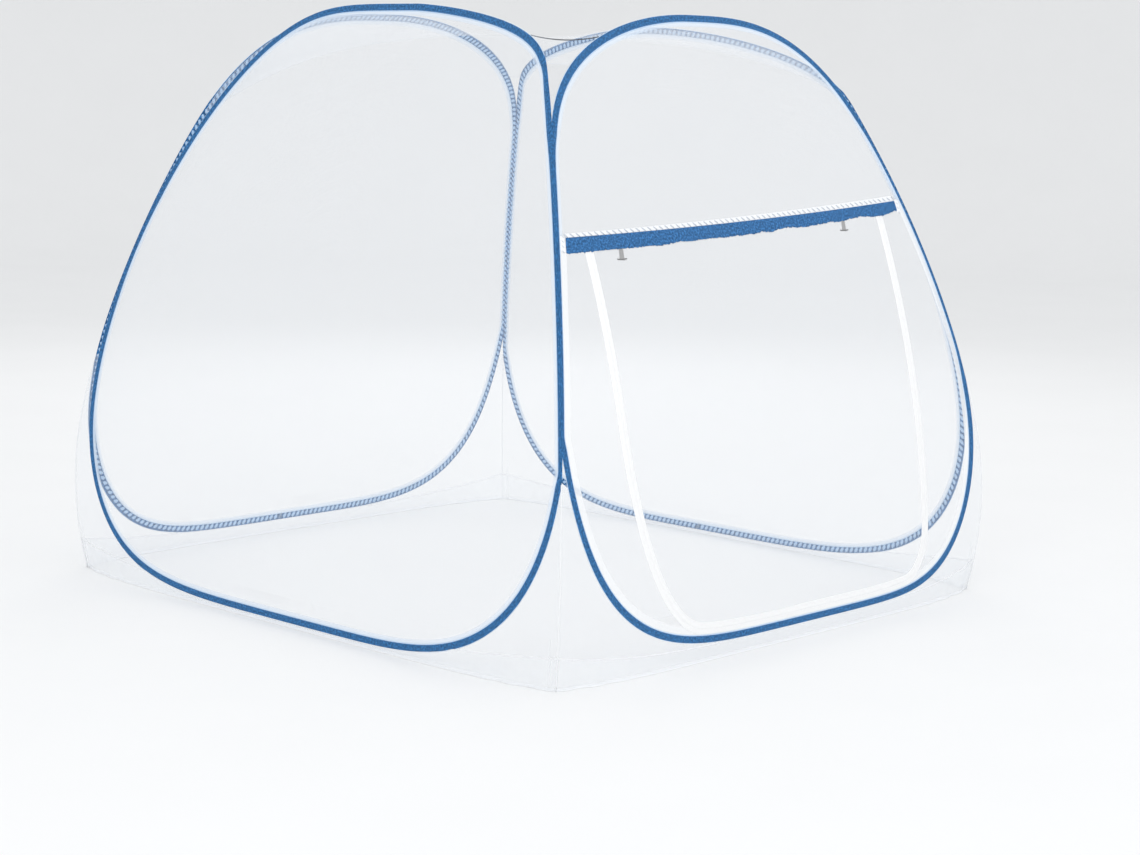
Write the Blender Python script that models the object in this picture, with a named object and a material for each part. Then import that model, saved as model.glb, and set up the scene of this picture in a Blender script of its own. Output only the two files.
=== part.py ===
"""Pop-up mosquito net tent: four bound hoops, net panels, a zipped door, a roof net and a base skirt.

Metres, +Z up. The origin is the middle of the base. The door wall faces -Y and the foot wall faces -X.
The head wall is the foot wall turned half a turn about Z, and the rear wall is the door wall turned
the same way. Each wall is one bent surface: a point on it is named by (along, height), where along
runs towards the wall's near end, which is (-X, -Y) for the foot and door walls.
"""

import functools
import math

import bmesh
import bpy
from mathutils import Vector

# Plan and walls
HALF_X = 0.90              # base half size along X, at the foot and head walls
HALF_Y = 1.00              # base half size along Y, at the door and rear walls
FOOT_LEAN = (0.04, 0.125)  # the foot wall leans in by a*z + b*z*z
DOOR_LEAN = (0.0, 0.18)    # so does the door wall
TUCK = 0.05                # how far the base corners are drawn in
TUCK_HEIGHT = 0.50         # the height at which that has died away
TUCK_POWER = 6             # how close to the corner it stays

# Cloth
NET = 0.0010               # thickness of a net sheet
SKIRT = 0.0016             # thickness of the doubled skirt
BINDING = 0.0024           # thickness of a hoop's binding
GAP = 0.0003               # clearance between neighbouring pieces
LOOSE_GAP = 0.0008         # the same where two edges are not cut to the same corners

# Hoop bindings
BAND_HALF = 0.0095         # half width of a binding where it runs free
JOINED_HALF = 0.0043       # half width where it is sewn to its neighbour
CORNER_INSET = 0.006       # a joined binding's middle line, from the corner line
SPREAD_RATE = 0.5          # how fast a binding widens as it leaves the corner
SEGMENTS = 34              # stretches of each half of a hoop, bottom to top
BEND_WEIGHT = 0.30         # metres of run that one radian of bend counts for in spacing them

# A hoop's outline. Each quarter leaves the corner line at its reach height, and closes to the middle
# as a superellipse: flat is the exponent on height, full the one on width.
HOOPS = {
    "foot": {
        "bottom": 0.022, "top": 1.615, "bottom_middle": 0.11, "top_middle": 0.07,
        "quarters": {  # (side, end): (reach height, flat, full)
            ("near", "bottom"): (0.53, 1.40, 4.25),
            ("far", "bottom"): (1.40, 4.30, 5.00),
            ("near", "top"): (1.40, 4.35, 1.35),
            ("far", "top"): (0.39, 6.00, 5.00),
        },
    },
    "head": {
        "bottom": 0.022, "top": 1.578, "bottom_middle": 0.11, "top_middle": 0.05,
        "quarters": {
            ("near", "bottom"): (0.53, 1.40, 4.25),
            ("far", "bottom"): (1.40, 4.30, 5.00),
            ("near", "top"): (1.40, 2.60, 1.50),
            ("far", "top"): (1.36, 2.60, 1.80),
        },
    },
    "door": {
        "bottom": 0.050, "top": 1.600, "bottom_middle": -0.09, "top_middle": -0.04,
        "quarters": {
            ("near", "bottom"): (0.61, 1.30, 4.95),
            ("far", "bottom"): (0.74, 2.00, 5.00),
            ("near", "top"): (1.18, 3.45, 1.90),
            ("far", "top"): (1.09, 4.80, 3.30),
        },
    },
}
# wall name: (outline used, half turns about Z)
WALLS = {"foot": ("foot", 0), "door": ("door", 0), "head": ("head", 1), "rear": ("door", 1)}

# Skirt: its upper edge rises from the middle of a wall to the corners
SKIRT_CORNER = 0.085
SKIRT_MIDDLE = {"foot": 0.0115, "head": 0.0115, "door": 0.0395}
SKIRT_RISE = {"foot": 1.35, "head": 1.35, "door": 3.5}
SKIRT_COLUMNS = 28

# Roof
ROOF_CROWN = 1.55
ROOF_POWER = 3.0
ROOF_ROWS = 5
EAR_OPENING = 0.004        # a corner net starts where the hoops have parted by this much each
CREASE_ROWS = 7            # stretches of a lower corner net's crease
WING_START = 0.006         # its wings start where the hoop stands this far above the skirt

# Cord across the near top corner
CORD_HEIGHT = 1.545
CORD_SAG = 0.010
CORD_RADIUS = 0.0014

# Door
VALANCE_LEVEL = 1.079      # top of the blue valance at the middle of the door
VALANCE_SLOPE = 0.0375     # it climbs this much per metre towards +X
VALANCE_SAG = 0.0184       # and this much per square metre to either side
VALANCE_DROP = 0.034
VALANCE_ENDS = (-0.686, 0.664)
VALANCE_THICK = 0.0020
TAPE_HEIGHT = 0.011
FACING_WIDTH = 0.021
ZIP_HALF = 0.015
# zip corner: (x of its upright run, width and height of its rounded foot)
ZIP_LEFT = (-0.615, 0.26, 0.54)
ZIP_RIGHT = (0.578, 0.11, 0.15)
TOGGLE_THICK = 0.0030
TOGGLES = {"toggle_left": -0.500, "toggle_right": 0.410}

COLORS = {  # name: (red, green, blue, roughness)
    "binding": (0.065, 0.17, 0.39, 0.85),
    "net": (0.90, 0.92, 0.95, 0.80),
    "facing": (0.88, 0.90, 0.93, 0.85),
    "zip": (0.90, 0.90, 0.92, 0.60),
    "toggle": (0.40, 0.40, 0.41, 0.50),
    "cord": (0.10, 0.10, 0.12, 0.70),
}


def mix(a, b, share):
    return (a[0] + (b[0] - a[0]) * share, a[1] + (b[1] - a[1]) * share)


def lean(wall_kind, height):
    a, b = DOOR_LEAN if wall_kind == "door" else FOOT_LEAN
    return a * height + b * height * height


def lean_rate(wall_kind, height):
    a, b = DOOR_LEAN if wall_kind == "door" else FOOT_LEAN
    return a + 2 * b * height


def tuck(height):
    return TUCK * max(0.0, 1 - height / TUCK_HEIGHT) ** 2


def reach(wall_kind, height):
    """How far along this wall the corner line lies."""
    if wall_kind == "door":
        return HALF_X - lean("foot", height) - tuck(height)
    return HALF_Y - lean("door", height) - tuck(height)


def wall_point(wall_kind, along, height, out=0.0):
    """A point on the foot or door wall, moved out of it by out."""
    share = min(1.0, abs(along) / reach(wall_kind, height))
    inward = lean(wall_kind, height) + tuck(height) * share ** TUCK_POWER
    rate = lean_rate(wall_kind, height)
    length = math.hypot(1.0, rate)
    depth = inward - out / length
    rise = out * rate / length
    if wall_kind == "door":
        return Vector((-along, -HALF_Y + depth, height + rise))
    return Vector((-HALF_X + depth, -along, height + rise))


def turned(point, half_turns):
    if half_turns:
        return Vector((-point.x, -point.y, point.z))
    return point


def closing(height, reach_height, end_height, flat, full):
    """1 up to a quarter's reach height, falling to 0 at the hoop's end."""
    share = (reach_height - height) / (reach_height - end_height)
    share = min(1.0, max(0.0, share))
    return max(0.0, 1 - share ** flat) ** (1 / full)


def hoop_width(kind, side, height):
    """Distance of a hoop's middle line from the wall's middle, towards the near or far end."""
    hoop = HOOPS[kind]
    sign = 1 if side == "near" else -1
    share = (height - hoop["bottom"]) / (hoop["top"] - hoop["bottom"])
    middle = sign * (hoop["bottom_middle"] + (hoop["top_middle"] - hoop["bottom_middle"]) * share)
    corner = joined_line(kind, height)
    close = 1.0
    for end in ("bottom", "top"):
        reach_height, flat, full = hoop["quarters"][side, end]
        close *= closing(height, reach_height, hoop[end], flat, full)
    return middle + (corner - middle) * close


def joined_line(kind, height):
    """Where a binding's middle line runs while it is sewn to its neighbour."""
    if kind == "door":
        return HALF_X - lean("foot", height) - CORNER_INSET
    return HALF_Y - lean("door", height) - CORNER_INSET


def resample(points, count, bend=0.0):
    """The same line in count stretches, equal in length plus bend metres for each radian turned."""
    marks = [0.0]
    for k in range(1, len(points)):
        step = math.dist(points[k - 1], points[k])
        if bend and k < len(points) - 1:
            a, b, c = points[k - 1:k + 2]
            before = math.atan2(b[1] - a[1], b[0] - a[0])
            after = math.atan2(c[1] - b[1], c[0] - b[0])
            step += bend * abs(math.remainder(after - before, math.tau))
        marks.append(marks[-1] + step)
    return at_shares(points, marks, [k / count for k in range(count + 1)])


def at_shares(points, marks, shares):
    """Points of a line at shares of its last mark."""
    result = []
    spot = 0
    for share in shares:
        target = marks[-1] * share
        while spot < len(marks) - 2 and marks[spot + 1] < target:
            spot += 1
        inside = (target - marks[spot]) / (marks[spot + 1] - marks[spot])
        result.append(mix(points[spot], points[spot + 1], min(1.0, max(0.0, inside))))
    return result


def run_marks(points):
    marks = [0.0]
    for a, b in zip(points, points[1:]):
        marks.append(marks[-1] + math.dist(a, b))
    return marks


def matched(first, second):
    """Two lines given the same number of points, keeping every corner of each."""
    marks = run_marks(first), run_marks(second)
    shares = sorted(m / line[-1] for line in marks for m in line)
    kept = [0.0]
    for share in shares:
        if share - kept[-1] > 1e-6:
            kept.append(share)
    return at_shares(first, marks[0], kept), at_shares(second, marks[1], kept)


def hoop_side(kind, side, count=SEGMENTS, samples=400, crowding=5):
    """One half of a hoop's middle line, bottom to top, as (along, height)."""
    hoop = HOOPS[kind]
    sign = 1 if side == "near" else -1
    span = hoop["top"] - hoop["bottom"]
    points = []
    for k in range(samples + 1):
        s = k / samples
        share = 0.5 * (2 * s) ** crowding if s < 0.5 else 1 - 0.5 * (2 - 2 * s) ** crowding
        height = hoop["bottom"] + span * share
        points.append((sign * hoop_width(kind, side, height), height))
    return resample(points, count, BEND_WEIGHT)


def hoop_ring(kind):
    """The hoop's middle line as a closed ring, up the near side and down the far side."""
    near = hoop_side(kind, "near")
    far = hoop_side(kind, "far")
    return near + far[-2:0:-1]


def ring_normals(ring):
    """Unit vectors out of the ring, in the wall's own plane."""
    normals = []
    count = len(ring)
    for k in range(count):
        before, after = ring[k - 1], ring[(k + 1) % count]
        run = (after[0] - before[0], after[1] - before[1])
        length = math.hypot(*run)
        normals.append((run[1] / length, -run[0] / length))
    return normals


def half_width(kind, point):
    """Half width of the binding at a point of its middle line."""
    away = joined_line(kind, point[1]) - abs(point[0])
    return JOINED_HALF + min(BAND_HALF - JOINED_HALF, SPREAD_RATE * max(0.0, away))


@functools.lru_cache
def ring_offset(kind, extra):
    """The binding's edge: extra is added past its half width, and a negative sign is the inner edge."""
    ring = hoop_ring(kind)
    sign = 1 if extra > 0 else -1
    result = []
    for point, normal in zip(ring, ring_normals(ring)):
        distance = sign * (half_width(kind, point) + abs(extra) - TINY)
        result.append((point[0] + normal[0] * distance, point[1] + normal[1] * distance))
    return result


TINY = 1e-9


def material(name):
    found = bpy.data.materials.get(name)
    if found:
        return found
    red, green, blue, roughness = COLORS[name]
    made = bpy.data.materials.new(name)
    made.use_nodes = True
    shader = made.node_tree.nodes["Principled BSDF"]
    shader.inputs["Base Color"].default_value = (red, green, blue, 1)
    shader.inputs["Roughness"].default_value = roughness
    shader.inputs["Metallic"].default_value = 0.0
    made.diffuse_color = (red, green, blue, 1)
    return made


def make_object(name, bm, material_name):
    bmesh.ops.remove_doubles(bm, verts=bm.verts, dist=1e-6)
    bmesh.ops.recalc_face_normals(bm, faces=bm.faces)
    mesh = bpy.data.meshes.new(name)
    bm.to_mesh(mesh)
    bm.free()
    mesh.materials.append(material(material_name))
    made = bpy.data.objects.new(name, mesh)
    bpy.context.scene.collection.objects.link(made)
    return made


def sheet_solid(name, outer, inner, material_name, closed=False):
    """A closed sheet from two grids of points, outer and inner, a list of rows each.

    closed joins the last column to the first. A first row of one point is the sheet's middle.
    """
    bm = bmesh.new()
    top, bottom = ([[bm.verts.new(p) for p in row] for row in grid] for grid in (outer, inner))
    rows, columns = len(outer), len(outer[1])
    across = columns if closed else columns - 1
    first = 0
    if len(outer[0]) == 1:
        first = 1
        for j in range(across):
            k = (j + 1) % columns
            bm.faces.new((top[0][0], top[1][k], top[1][j]))
            bm.faces.new((bottom[0][0], bottom[1][j], bottom[1][k]))
    for i in range(first, rows - 1):
        for j in range(across):
            k = (j + 1) % columns
            bm.faces.new((top[i][j], top[i][k], top[i + 1][k], top[i + 1][j]))
            bm.faces.new((bottom[i][j], bottom[i + 1][j], bottom[i + 1][k], bottom[i][k]))
    for j in range(across):
        k = (j + 1) % columns
        if not first:
            bm.faces.new((top[0][j], bottom[0][j], bottom[0][k], top[0][k]))
        bm.faces.new((top[-1][j], top[-1][k], bottom[-1][k], bottom[-1][j]))
    if not closed:
        for i in range(rows - 1):
            bm.faces.new((top[i][0], top[i + 1][0], bottom[i + 1][0], bottom[i][0]))
            bm.faces.new((top[i][-1], bottom[i][-1], bottom[i + 1][-1], top[i + 1][-1]))
    return make_object(name, bm, material_name)


def wall_sheet(name, wall, grid, thickness, material_name, closed=False, proud=0.0):
    """A sheet on a wall: grid holds (along, height), proud moves it out of the wall."""
    kind, half_turns = WALLS[wall]
    layers = []
    for side in (1, -1):
        out = proud + side * thickness / 2
        layers.append([[turned(wall_point(kind, u, z, out), half_turns) for u, z in row] for row in grid])
    return sheet_solid(name, layers[0], layers[1], material_name, closed)


def binding(wall):
    kind = WALLS[wall][0]
    edges = [ring_offset(kind, TINY), ring_offset(kind, -TINY)]
    wall_sheet("binding_" + wall, wall, edges, BINDING, "binding", closed=True)


def split_ring(ring):
    """A ring as its near and far halves, each from the bottom to the top."""
    near = ring[:SEGMENTS + 1]
    far = [ring[0]] + ring[:SEGMENTS - 1:-1]
    return near, far


def panel(wall, across=(0.0, 0.25, 0.75, 1.0)):
    """A whole net panel inside a hoop."""
    kind = WALLS[wall][0]
    near, far = split_ring(ring_offset(kind, -GAP))
    grid = [[mix(b, a, s) for s in across] for a, b in zip(near, far)]
    wall_sheet("net_" + wall, wall, grid, NET, "net")


def valance_line(x):
    return VALANCE_LEVEL + VALANCE_SLOPE * x + VALANCE_SAG * x * x


def cut_below(points, limit):
    """The part of a rising line that lies under limit(along), ending on it."""
    kept = []
    for k, (u, z) in enumerate(points):
        if z >= limit(u):
            if kept:
                a = kept[-1]
                low, high = a[1] - limit(a[0]), z - limit(u)
                kept.append(mix(a, (u, z), low / (low - high)))
            return kept, points[k:]
        kept.append((u, z))
    return kept, []


def door_edges(extra):
    """The near and far edges of the door hoop's inside, extra further in than the binding."""
    return split_ring(ring_offset("door", -extra))


def seam_level(offset):
    """Height of the door's top seam as a function of along, which runs to -X."""
    return lambda u: valance_line(-u) + offset


def upper_net():
    edges = []
    for points in door_edges(GAP):
        limit = seam_level(GAP)
        below, above = cut_below(points, limit)
        edges.append([below[-1]] + above)
    near, far = matched(*edges)
    grid = [[mix(b, a, s) for s in (0.0, 0.25, 0.75, 1.0)] for a, b in zip(near, far)]
    wall_sheet("door_upper_net", "door", grid, NET, "net")


def facing():
    """The white strip inside the door hoop, from the top seam down and round the bottom."""
    outer, inner = door_edges(GAP), door_edges(GAP + FACING_WIDTH)
    near, far = ([cut_below(line, seam_level(-GAP))[0] for line in lines] for lines in zip(outer, inner))
    near, far = matched(*near), matched(*far)
    rows = [near[k][::-1] + far[k][1:] for k in (0, 1)]
    wall_sheet("door_facing", "door", rows, NET, "facing")


def line_height(points, u):
    """Height of a line at along u, where it runs steadily in u."""
    ordered = sorted(points)
    for a, b in zip(ordered, ordered[1:]):
        if a[0] <= u <= b[0]:
            return a[1] + (b[1] - a[1]) * (u - a[0]) / (b[0] - a[0])
    return ordered[0][1] if u < ordered[0][0] else ordered[-1][1]


def zip_floor(u):
    """Lowest height of the zip's middle line: just clear of the facing."""
    near, far = door_edges(GAP + FACING_WIDTH + LOOSE_GAP + ZIP_HALF)
    low = [p for p in near + far if p[1] < 0.5]
    return line_height(low, u)


def zip_path(corner_steps=9, run_steps=5, bottom_steps=9):
    """The zip's middle line as (along, height): down the left, along the bottom, up the right."""
    path = []
    for x, width, rise in (ZIP_LEFT, ZIP_RIGHT):
        toward = 1 if x < 0 else -1
        foot_x = x + toward * width
        foot = zip_floor(-foot_x)
        bend = foot + rise
        top = valance_line(x) - GAP
        run = []
        for k in range(run_steps):
            run.append((-x, top + (bend - top) * k / run_steps))
        for k in range(corner_steps + 1):
            angle = math.pi / 2 * k / corner_steps
            px = x + toward * width * (1 - math.cos(angle))
            pz = bend - rise * math.sin(angle)
            run.append((-px, max(pz, zip_floor(-px))))
        path.append(run)
    left, right = path
    bottom = []
    for k in range(1, bottom_steps):
        u = left[-1][0] + (right[-1][0] - left[-1][0]) * k / bottom_steps
        bottom.append((u, zip_floor(u)))
    return left + bottom + right[::-1]


def path_offset(path, distance):
    """A line beside path; positive is to the outside of the U."""
    result = []
    last = len(path) - 1
    for k, point in enumerate(path):
        before, after = path[max(0, k - 1)], path[min(last, k + 1)]
        run = (after[0] - before[0], after[1] - before[1])
        length = math.hypot(*run)
        side = (-run[1] / length, run[0] / length)
        result.append((point[0] + side[0] * distance, point[1] + side[1] * distance))
    return result


def flush_top(points, offset):
    """The line with its two ends brought to the door's top seam."""
    ended = list(points)
    for k in (0, -1):
        ended[k] = (ended[k][0], seam_level(offset)(ended[k][0]))
    return ended


def zip_tape():
    path = zip_path()
    rows = [flush_top(path_offset(path, side * ZIP_HALF), -GAP) for side in (1, -1)]
    wall_sheet("zip_tape", "door", rows, NET, "zip")
    return path


def door_leaf(path):
    """The net inside the zip's U."""
    edge = flush_top(path_offset(path, -(ZIP_HALF + GAP)), -GAP)
    middle = len(edge) // 2
    left, right = edge[:middle + 1][::-1], edge[middle:]
    count = 22
    left, right = resample(left, count), resample(right, count)
    grid = [[mix(b, a, s) for s in (0.0, 0.35, 0.65, 1.0)] for a, b in zip(left, right)]
    wall_sheet("door_leaf", "door", grid, NET, "net")


def side_net(name, path, side, opening=0.004):
    """The net between the facing and an upright run of the zip, down to where they meet."""
    lines = door_edges(GAP + FACING_WIDTH + LOOSE_GAP)
    outer = cut_below(lines[0] if side == "near" else lines[1], seam_level(-GAP))[0]
    edge = flush_top(path_offset(path, ZIP_HALF + GAP), -GAP)
    inner = edge if side == "near" else edge[::-1]
    inner = inner[:len(inner) // 2]
    sign = 1 if side == "near" else -1

    def width(point):
        return sign * (facing_along(outer, sign, point[1]) - point[0])

    kept = [p for p in inner if p[1] > outer[0][1] + 0.01 and width(p) > opening]
    grid = []
    for u, z in kept:
        far_side = (facing_along(outer, sign, z), z)
        if z == kept[0][1]:
            far_side = outer[-1]
        grid.append([far_side, mix(far_side, (u, z), 0.5), (u, z)])
    wall_sheet(name, "door", grid, NET, "net")


def facing_along(outer, sign, height):
    """Where the facing's inner edge lies at a height, on the side that sign names."""
    crossings = [(a, b) for a, b in zip(outer, outer[1:]) if a[1] <= height <= b[1]]
    if not crossings:
        return outer[-1][0]
    a, b = crossings[-1]
    return a[0] + (b[0] - a[0]) * (height - a[1]) / max(TINY, b[1] - a[1])


def valance_hem(x):
    """The valance's drop at x, uneven as a raw cloth edge is."""
    wave = 0.0016 * math.sin(9.0 * x + 0.7) + 0.0014 * math.sin(31.0 * x + 2.0)
    return VALANCE_DROP + wave + 0.0008 * math.sin(83.0 * x)


def valance(columns=44):
    start, end = VALANCE_ENDS
    top, bottom, tape_low, tape_high = [], [], [], []
    for k in range(columns + 1):
        x = start + (end - start) * k / columns
        u, level = -x, valance_line(x)
        top.append((u, level - GAP))
        bottom.append((u, level - valance_hem(x)))
        tape_low.append((u, level + GAP / 2))
        tape_high.append((u, level + TAPE_HEIGHT))
    proud = NET / 2 + GAP + VALANCE_THICK / 2
    wall_sheet("valance", "door", [top, bottom], VALANCE_THICK, "binding", proud=proud)
    few = slice(None, None, 4)
    rows = [tape_high[few], tape_low[few]]
    wall_sheet("valance_tape", "door", rows, VALANCE_THICK, "facing", proud=proud)
    return bottom


def toggle(name, x, hem, length=0.027, strap_top=0.0055, strap_low=0.0042, bar=0.0115, bar_height=0.0035):
    """A moulded strap that ends in a cross bar, hanging under the valance."""
    top = min(line_height(hem, -x + side * strap_top) for side in (-1, 0, 1)) - 2 * GAP
    low = top - length
    outline = [(x - strap_top, top), (x - strap_low, low + bar_height), (x - bar, low + bar_height),
               (x - bar, low), (x + bar, low), (x + bar, low + bar_height),
               (x + strap_low, low + bar_height), (x + strap_top, top)]
    near_face = NET / 2 + 2 * GAP
    bm = bmesh.new()
    front, back = ([bm.verts.new(wall_point("door", -px, pz, out)) for px, pz in outline]
                   for out in (near_face + TOGGLE_THICK, near_face))
    bm.faces.new(front)
    bm.faces.new(back[::-1])
    for k in range(len(outline)):
        n = (k + 1) % len(outline)
        bm.faces.new((front[k], back[k], back[n], front[n]))
    make_object(name, bm, "toggle")


def part_height(kind, side, end):
    """Where a hoop has left the corner line by EAR_OPENING, going towards its end."""
    middle = 0.9
    target = HOOPS[kind][end]
    for k in range(400):
        height = middle + (target - middle) * k / 400
        if joined_line(kind, height) - hoop_width(kind, side, height) > EAR_OPENING:
            return height
    return target


def sewn_hoops(wall, side):
    """The two hoops sewn together at this end of a wall."""
    if wall in ("foot", "head"):
        return wall, "door"
    return ("foot" if (wall == "door") == (side == "near") else "head"), "door"


def roof():
    """One cloth inside the four hoops' tops, with an ear down each corner."""
    edge = []
    for wall in ("foot", "rear", "head", "door"):
        kind, half_turns = WALLS[wall]
        parts = []
        for side, points in zip(("near", "far"), split_ring(ring_offset(kind, TINY))):
            low = max(part_height(each, side, "top") for each in sewn_hoops(wall, side))
            parts.append([line_at_height(points, low)] + [p for p in points if p[1] > low + 0.004])
        # the foot and head walls are walked near to far, the door and rear walls far to near
        first, second = parts[::-1] if kind == "door" else parts
        behind = -(BINDING + NET) / 2 - 2 * GAP
        edge += [turned(wall_point(kind, u, z, behind), half_turns) for u, z in first + second[-2::-1]]
    rows = [[Vector((0, 0, ROOF_CROWN))]]
    for k in range(1, ROOF_ROWS + 1):
        share = (k / ROOF_ROWS) ** 0.7
        rows.append([Vector((p.x * share, p.y * share, ROOF_CROWN + (p.z - ROOF_CROWN) * share ** ROOF_POWER))
                     for p in edge])
    normals = grid_normals(rows)
    layers = [[[p + n * side * NET / 2 for p, n in zip(*pair)] for pair in zip(rows, normals)]
              for side in (1, -1)]
    sheet_solid("net_roof", layers[0], layers[1], "net", closed=True)


def grid_normals(rows):
    """Upward unit normals of a closed grid whose first row is its middle point."""
    result = [[Vector((0, 0, 1))]]
    columns = len(rows[1])
    for i in range(1, len(rows)):
        inner = rows[i - 1] if i > 1 else rows[0] * columns
        outer = rows[min(i + 1, len(rows) - 1)]
        line = []
        for j in range(columns):
            across = rows[i][(j + 1) % columns] - rows[i][j - 1]
            normal = (outer[j] - inner[j]).cross(across).normalized()
            line.append(normal if normal.z > 0 else -normal)
        result.append(line)
    return result


def skirt_top(kind, u):
    """Height of the skirt's upper edge, kept under the hoop."""
    share = min(1.0, abs(u) / reach(kind, SKIRT_CORNER))
    wanted = SKIRT_MIDDLE[kind] + (SKIRT_CORNER - SKIRT_MIDDLE[kind]) * share ** SKIRT_RISE[kind]
    if share > 0.8:
        return wanted
    edge = [p for p in ring_offset(kind, LOOSE_GAP) if p[1] < 0.35]
    column = reach(kind, SKIRT_CORNER) / SKIRT_COLUMNS
    return min([wanted] + [line_height(edge, u + step) for step in (-column, 0.0, column)])


def corner_point(height, out, y_side=-1):
    """The corner line of the foot wall and a neighbour, moved out of both."""
    a = wall_point("foot", reach("foot", height), height, out)
    b = wall_point("door", reach("door", height), height, out)
    return Vector((a.x, -y_side * b.y, height))


def skirt():
    layers = []
    for side in (1, -1):
        out = side * SKIRT / 2
        low, high = [], []
        for wall in ("foot", "door", "head", "rear"):
            kind, half_turns = WALLS[wall]
            # the foot and head walls are walked far to near, the door and rear walls near to far
            direction = -1 if kind == "door" else 1
            for k in range(SKIRT_COLUMNS):
                share = direction * (-1 + 2 * k / SKIRT_COLUMNS)
                for row, height in ((low, 0.0), (high, skirt_edge(kind, share)[1])):
                    point = wall_point(kind, share * reach(kind, height), height, out)
                    if k == 0:
                        point = corner_point(height, out, direction)
                    point.z = height
                    row.append(turned(point, half_turns))
        layers.append([high, low])
    sheet_solid("skirt", layers[0], layers[1], "net", closed=True)


def skirt_edge(kind, share):
    """A corner of the skirt's upper edge, at a share of the way from the wall's middle."""
    z = skirt_top(kind, share * reach(kind, SKIRT_CORNER))
    return share * reach(kind, z), z


def corner_wing(kind, side, heights):
    """One wall's share of a corner net, as its hoop edge and its skirt and corner edge, from the bottom."""
    sign = 1 if side == "near" else -1
    ring = split_ring(ring_offset(kind, GAP))[0 if side == "near" else 1]
    foot = [p for p in ring if p[1] < 0.35]
    seam = []
    for k in range(1, SKIRT_COLUMNS // 2):
        u, z = skirt_edge(kind, sign * 2 * k / SKIRT_COLUMNS)
        if abs(u) > 0.2 and (seam or line_height(foot, u) - z > WING_START):
            seam.append((u, z + LOOSE_GAP))
    start = seam[0][0]
    hoop = [(start, line_height(foot, start))]
    hoop += [p for p in ring if sign * p[0] > sign * start and 0.03 < p[1] < heights[-1]]
    hoop = hoop[:1] + [p for p in hoop[1:] if sign * (p[0] - start) > 0.002]
    hoop.append(line_at_height(ring, heights[-1]))
    return hoop, seam, [(sign * reach(kind, z), z) for z in heights]


def zipped(first, second):
    """Triangles between two lines, as (line, index) corners, by the shorter diagonal."""
    i = j = 0
    faces = []
    while i < len(first) - 1 or j < len(second) - 1:
        along_first = j == len(second) - 1 or (
            i < len(first) - 1 and math.dist(first[i + 1], second[j]) < math.dist(first[i], second[j + 1]))
        if along_first:
            faces.append(((0, i), (0, i + 1), (1, j)))
            i += 1
        else:
            faces.append(((0, i), (1, j + 1), (1, j)))
            j += 1
    return faces


def corner_net(name, side, half_turns):
    """The net under a corner, between two hoops' lower quarters and the skirt."""
    kinds = ("head" if half_turns else "foot"), "door"
    top = min(part_height(kind, side, "bottom") for kind in kinds)
    low = SKIRT_CORNER + LOOSE_GAP
    heights = [low + (top - low) * k / CREASE_ROWS for k in range(CREASE_ROWS + 1)]
    faces = []
    for kind in kinds:
        hoop, seam, crease = corner_wing(kind, side, heights)
        lines = hoop, seam + crease
        turns = half_turns + (kind == "door" and side == "far")

        def pair(line, k):
            u, z = lines[line][k]
            result = []
            for out in (NET / 2, -NET / 2):
                if line and k >= len(seam):
                    point = turned(corner_point(z, out, -1 if side == "near" else 1), half_turns)
                else:
                    point = turned(wall_point(kind, u, z, out), turns % 2)
                result.append(point)
            return result

        faces += [[pair(*corner) for corner in face] for face in zipped(*lines)]
    shell(name, faces, "net")


def shell(name, faces, material_name):
    """A closed sheet from faces whose corners are pairs of points, outer and inner."""
    bm = bmesh.new()
    made = {}
    edges = {}
    for face in faces:
        rings = []
        for layer in (0, 1):
            ring = []
            for corner in face:
                key = tuple(round(c, 6) for c in corner[layer])
                if key not in made:
                    made[key] = bm.verts.new(corner[layer])
                ring.append(made[key])
            rings.append(ring)
        outer, inner = rings
        bm.faces.new(outer)
        bm.faces.new(inner[::-1])
        for k in range(len(face)):
            n = (k + 1) % len(face)
            edges.setdefault(frozenset((outer[k], outer[n])), []).append(
                (outer[k], inner[k], inner[n], outer[n]))
    for uses in edges.values():
        if len(uses) == 1:
            bm.faces.new(uses[0])
    make_object(name, bm, material_name)


def tube(name, points, radius, material_name, sides=8):
    """A closed round tube along points."""
    bm = bmesh.new()
    rings = []
    for k, point in enumerate(points):
        run = (points[min(k + 1, len(points) - 1)] - points[max(k - 1, 0)]).normalized()
        across = run.cross(Vector((0, 0, 1))).normalized()
        up = across.cross(run)
        rings.append([bm.verts.new(point + radius * (across * math.cos(t) + up * math.sin(t)))
                      for t in (math.tau * j / sides for j in range(sides))])
    for a, b in zip(rings, rings[1:]):
        for j in range(sides):
            n = (j + 1) % sides
            bm.faces.new((a[j], a[n], b[n], b[j]))
    bm.faces.new(rings[0][::-1])
    bm.faces.new(rings[-1])
    make_object(name, bm, material_name)


def corner_cord():
    """A thin cord across the V between the foot and door hoops."""
    clear = CORD_RADIUS + GAP
    start, end = (wall_point(kind, *line_at_height(split_ring(ring_offset(kind, clear))[0], CORD_HEIGHT))
                  for kind in ("foot", "door"))
    points = []
    for k in range(17):
        s = k / 16
        p = start.lerp(end, s)
        points.append(Vector((p.x, p.y, p.z - 4 * CORD_SAG * s * (1 - s))))
    tube("corner_cord", points, CORD_RADIUS, "cord")


def line_at_height(points, height):
    """The point of a rising line at a height."""
    for a, b in zip(points, points[1:]):
        if a[1] <= height <= b[1]:
            return mix(a, b, (height - a[1]) / (b[1] - a[1]))
    return points[-1]


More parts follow.
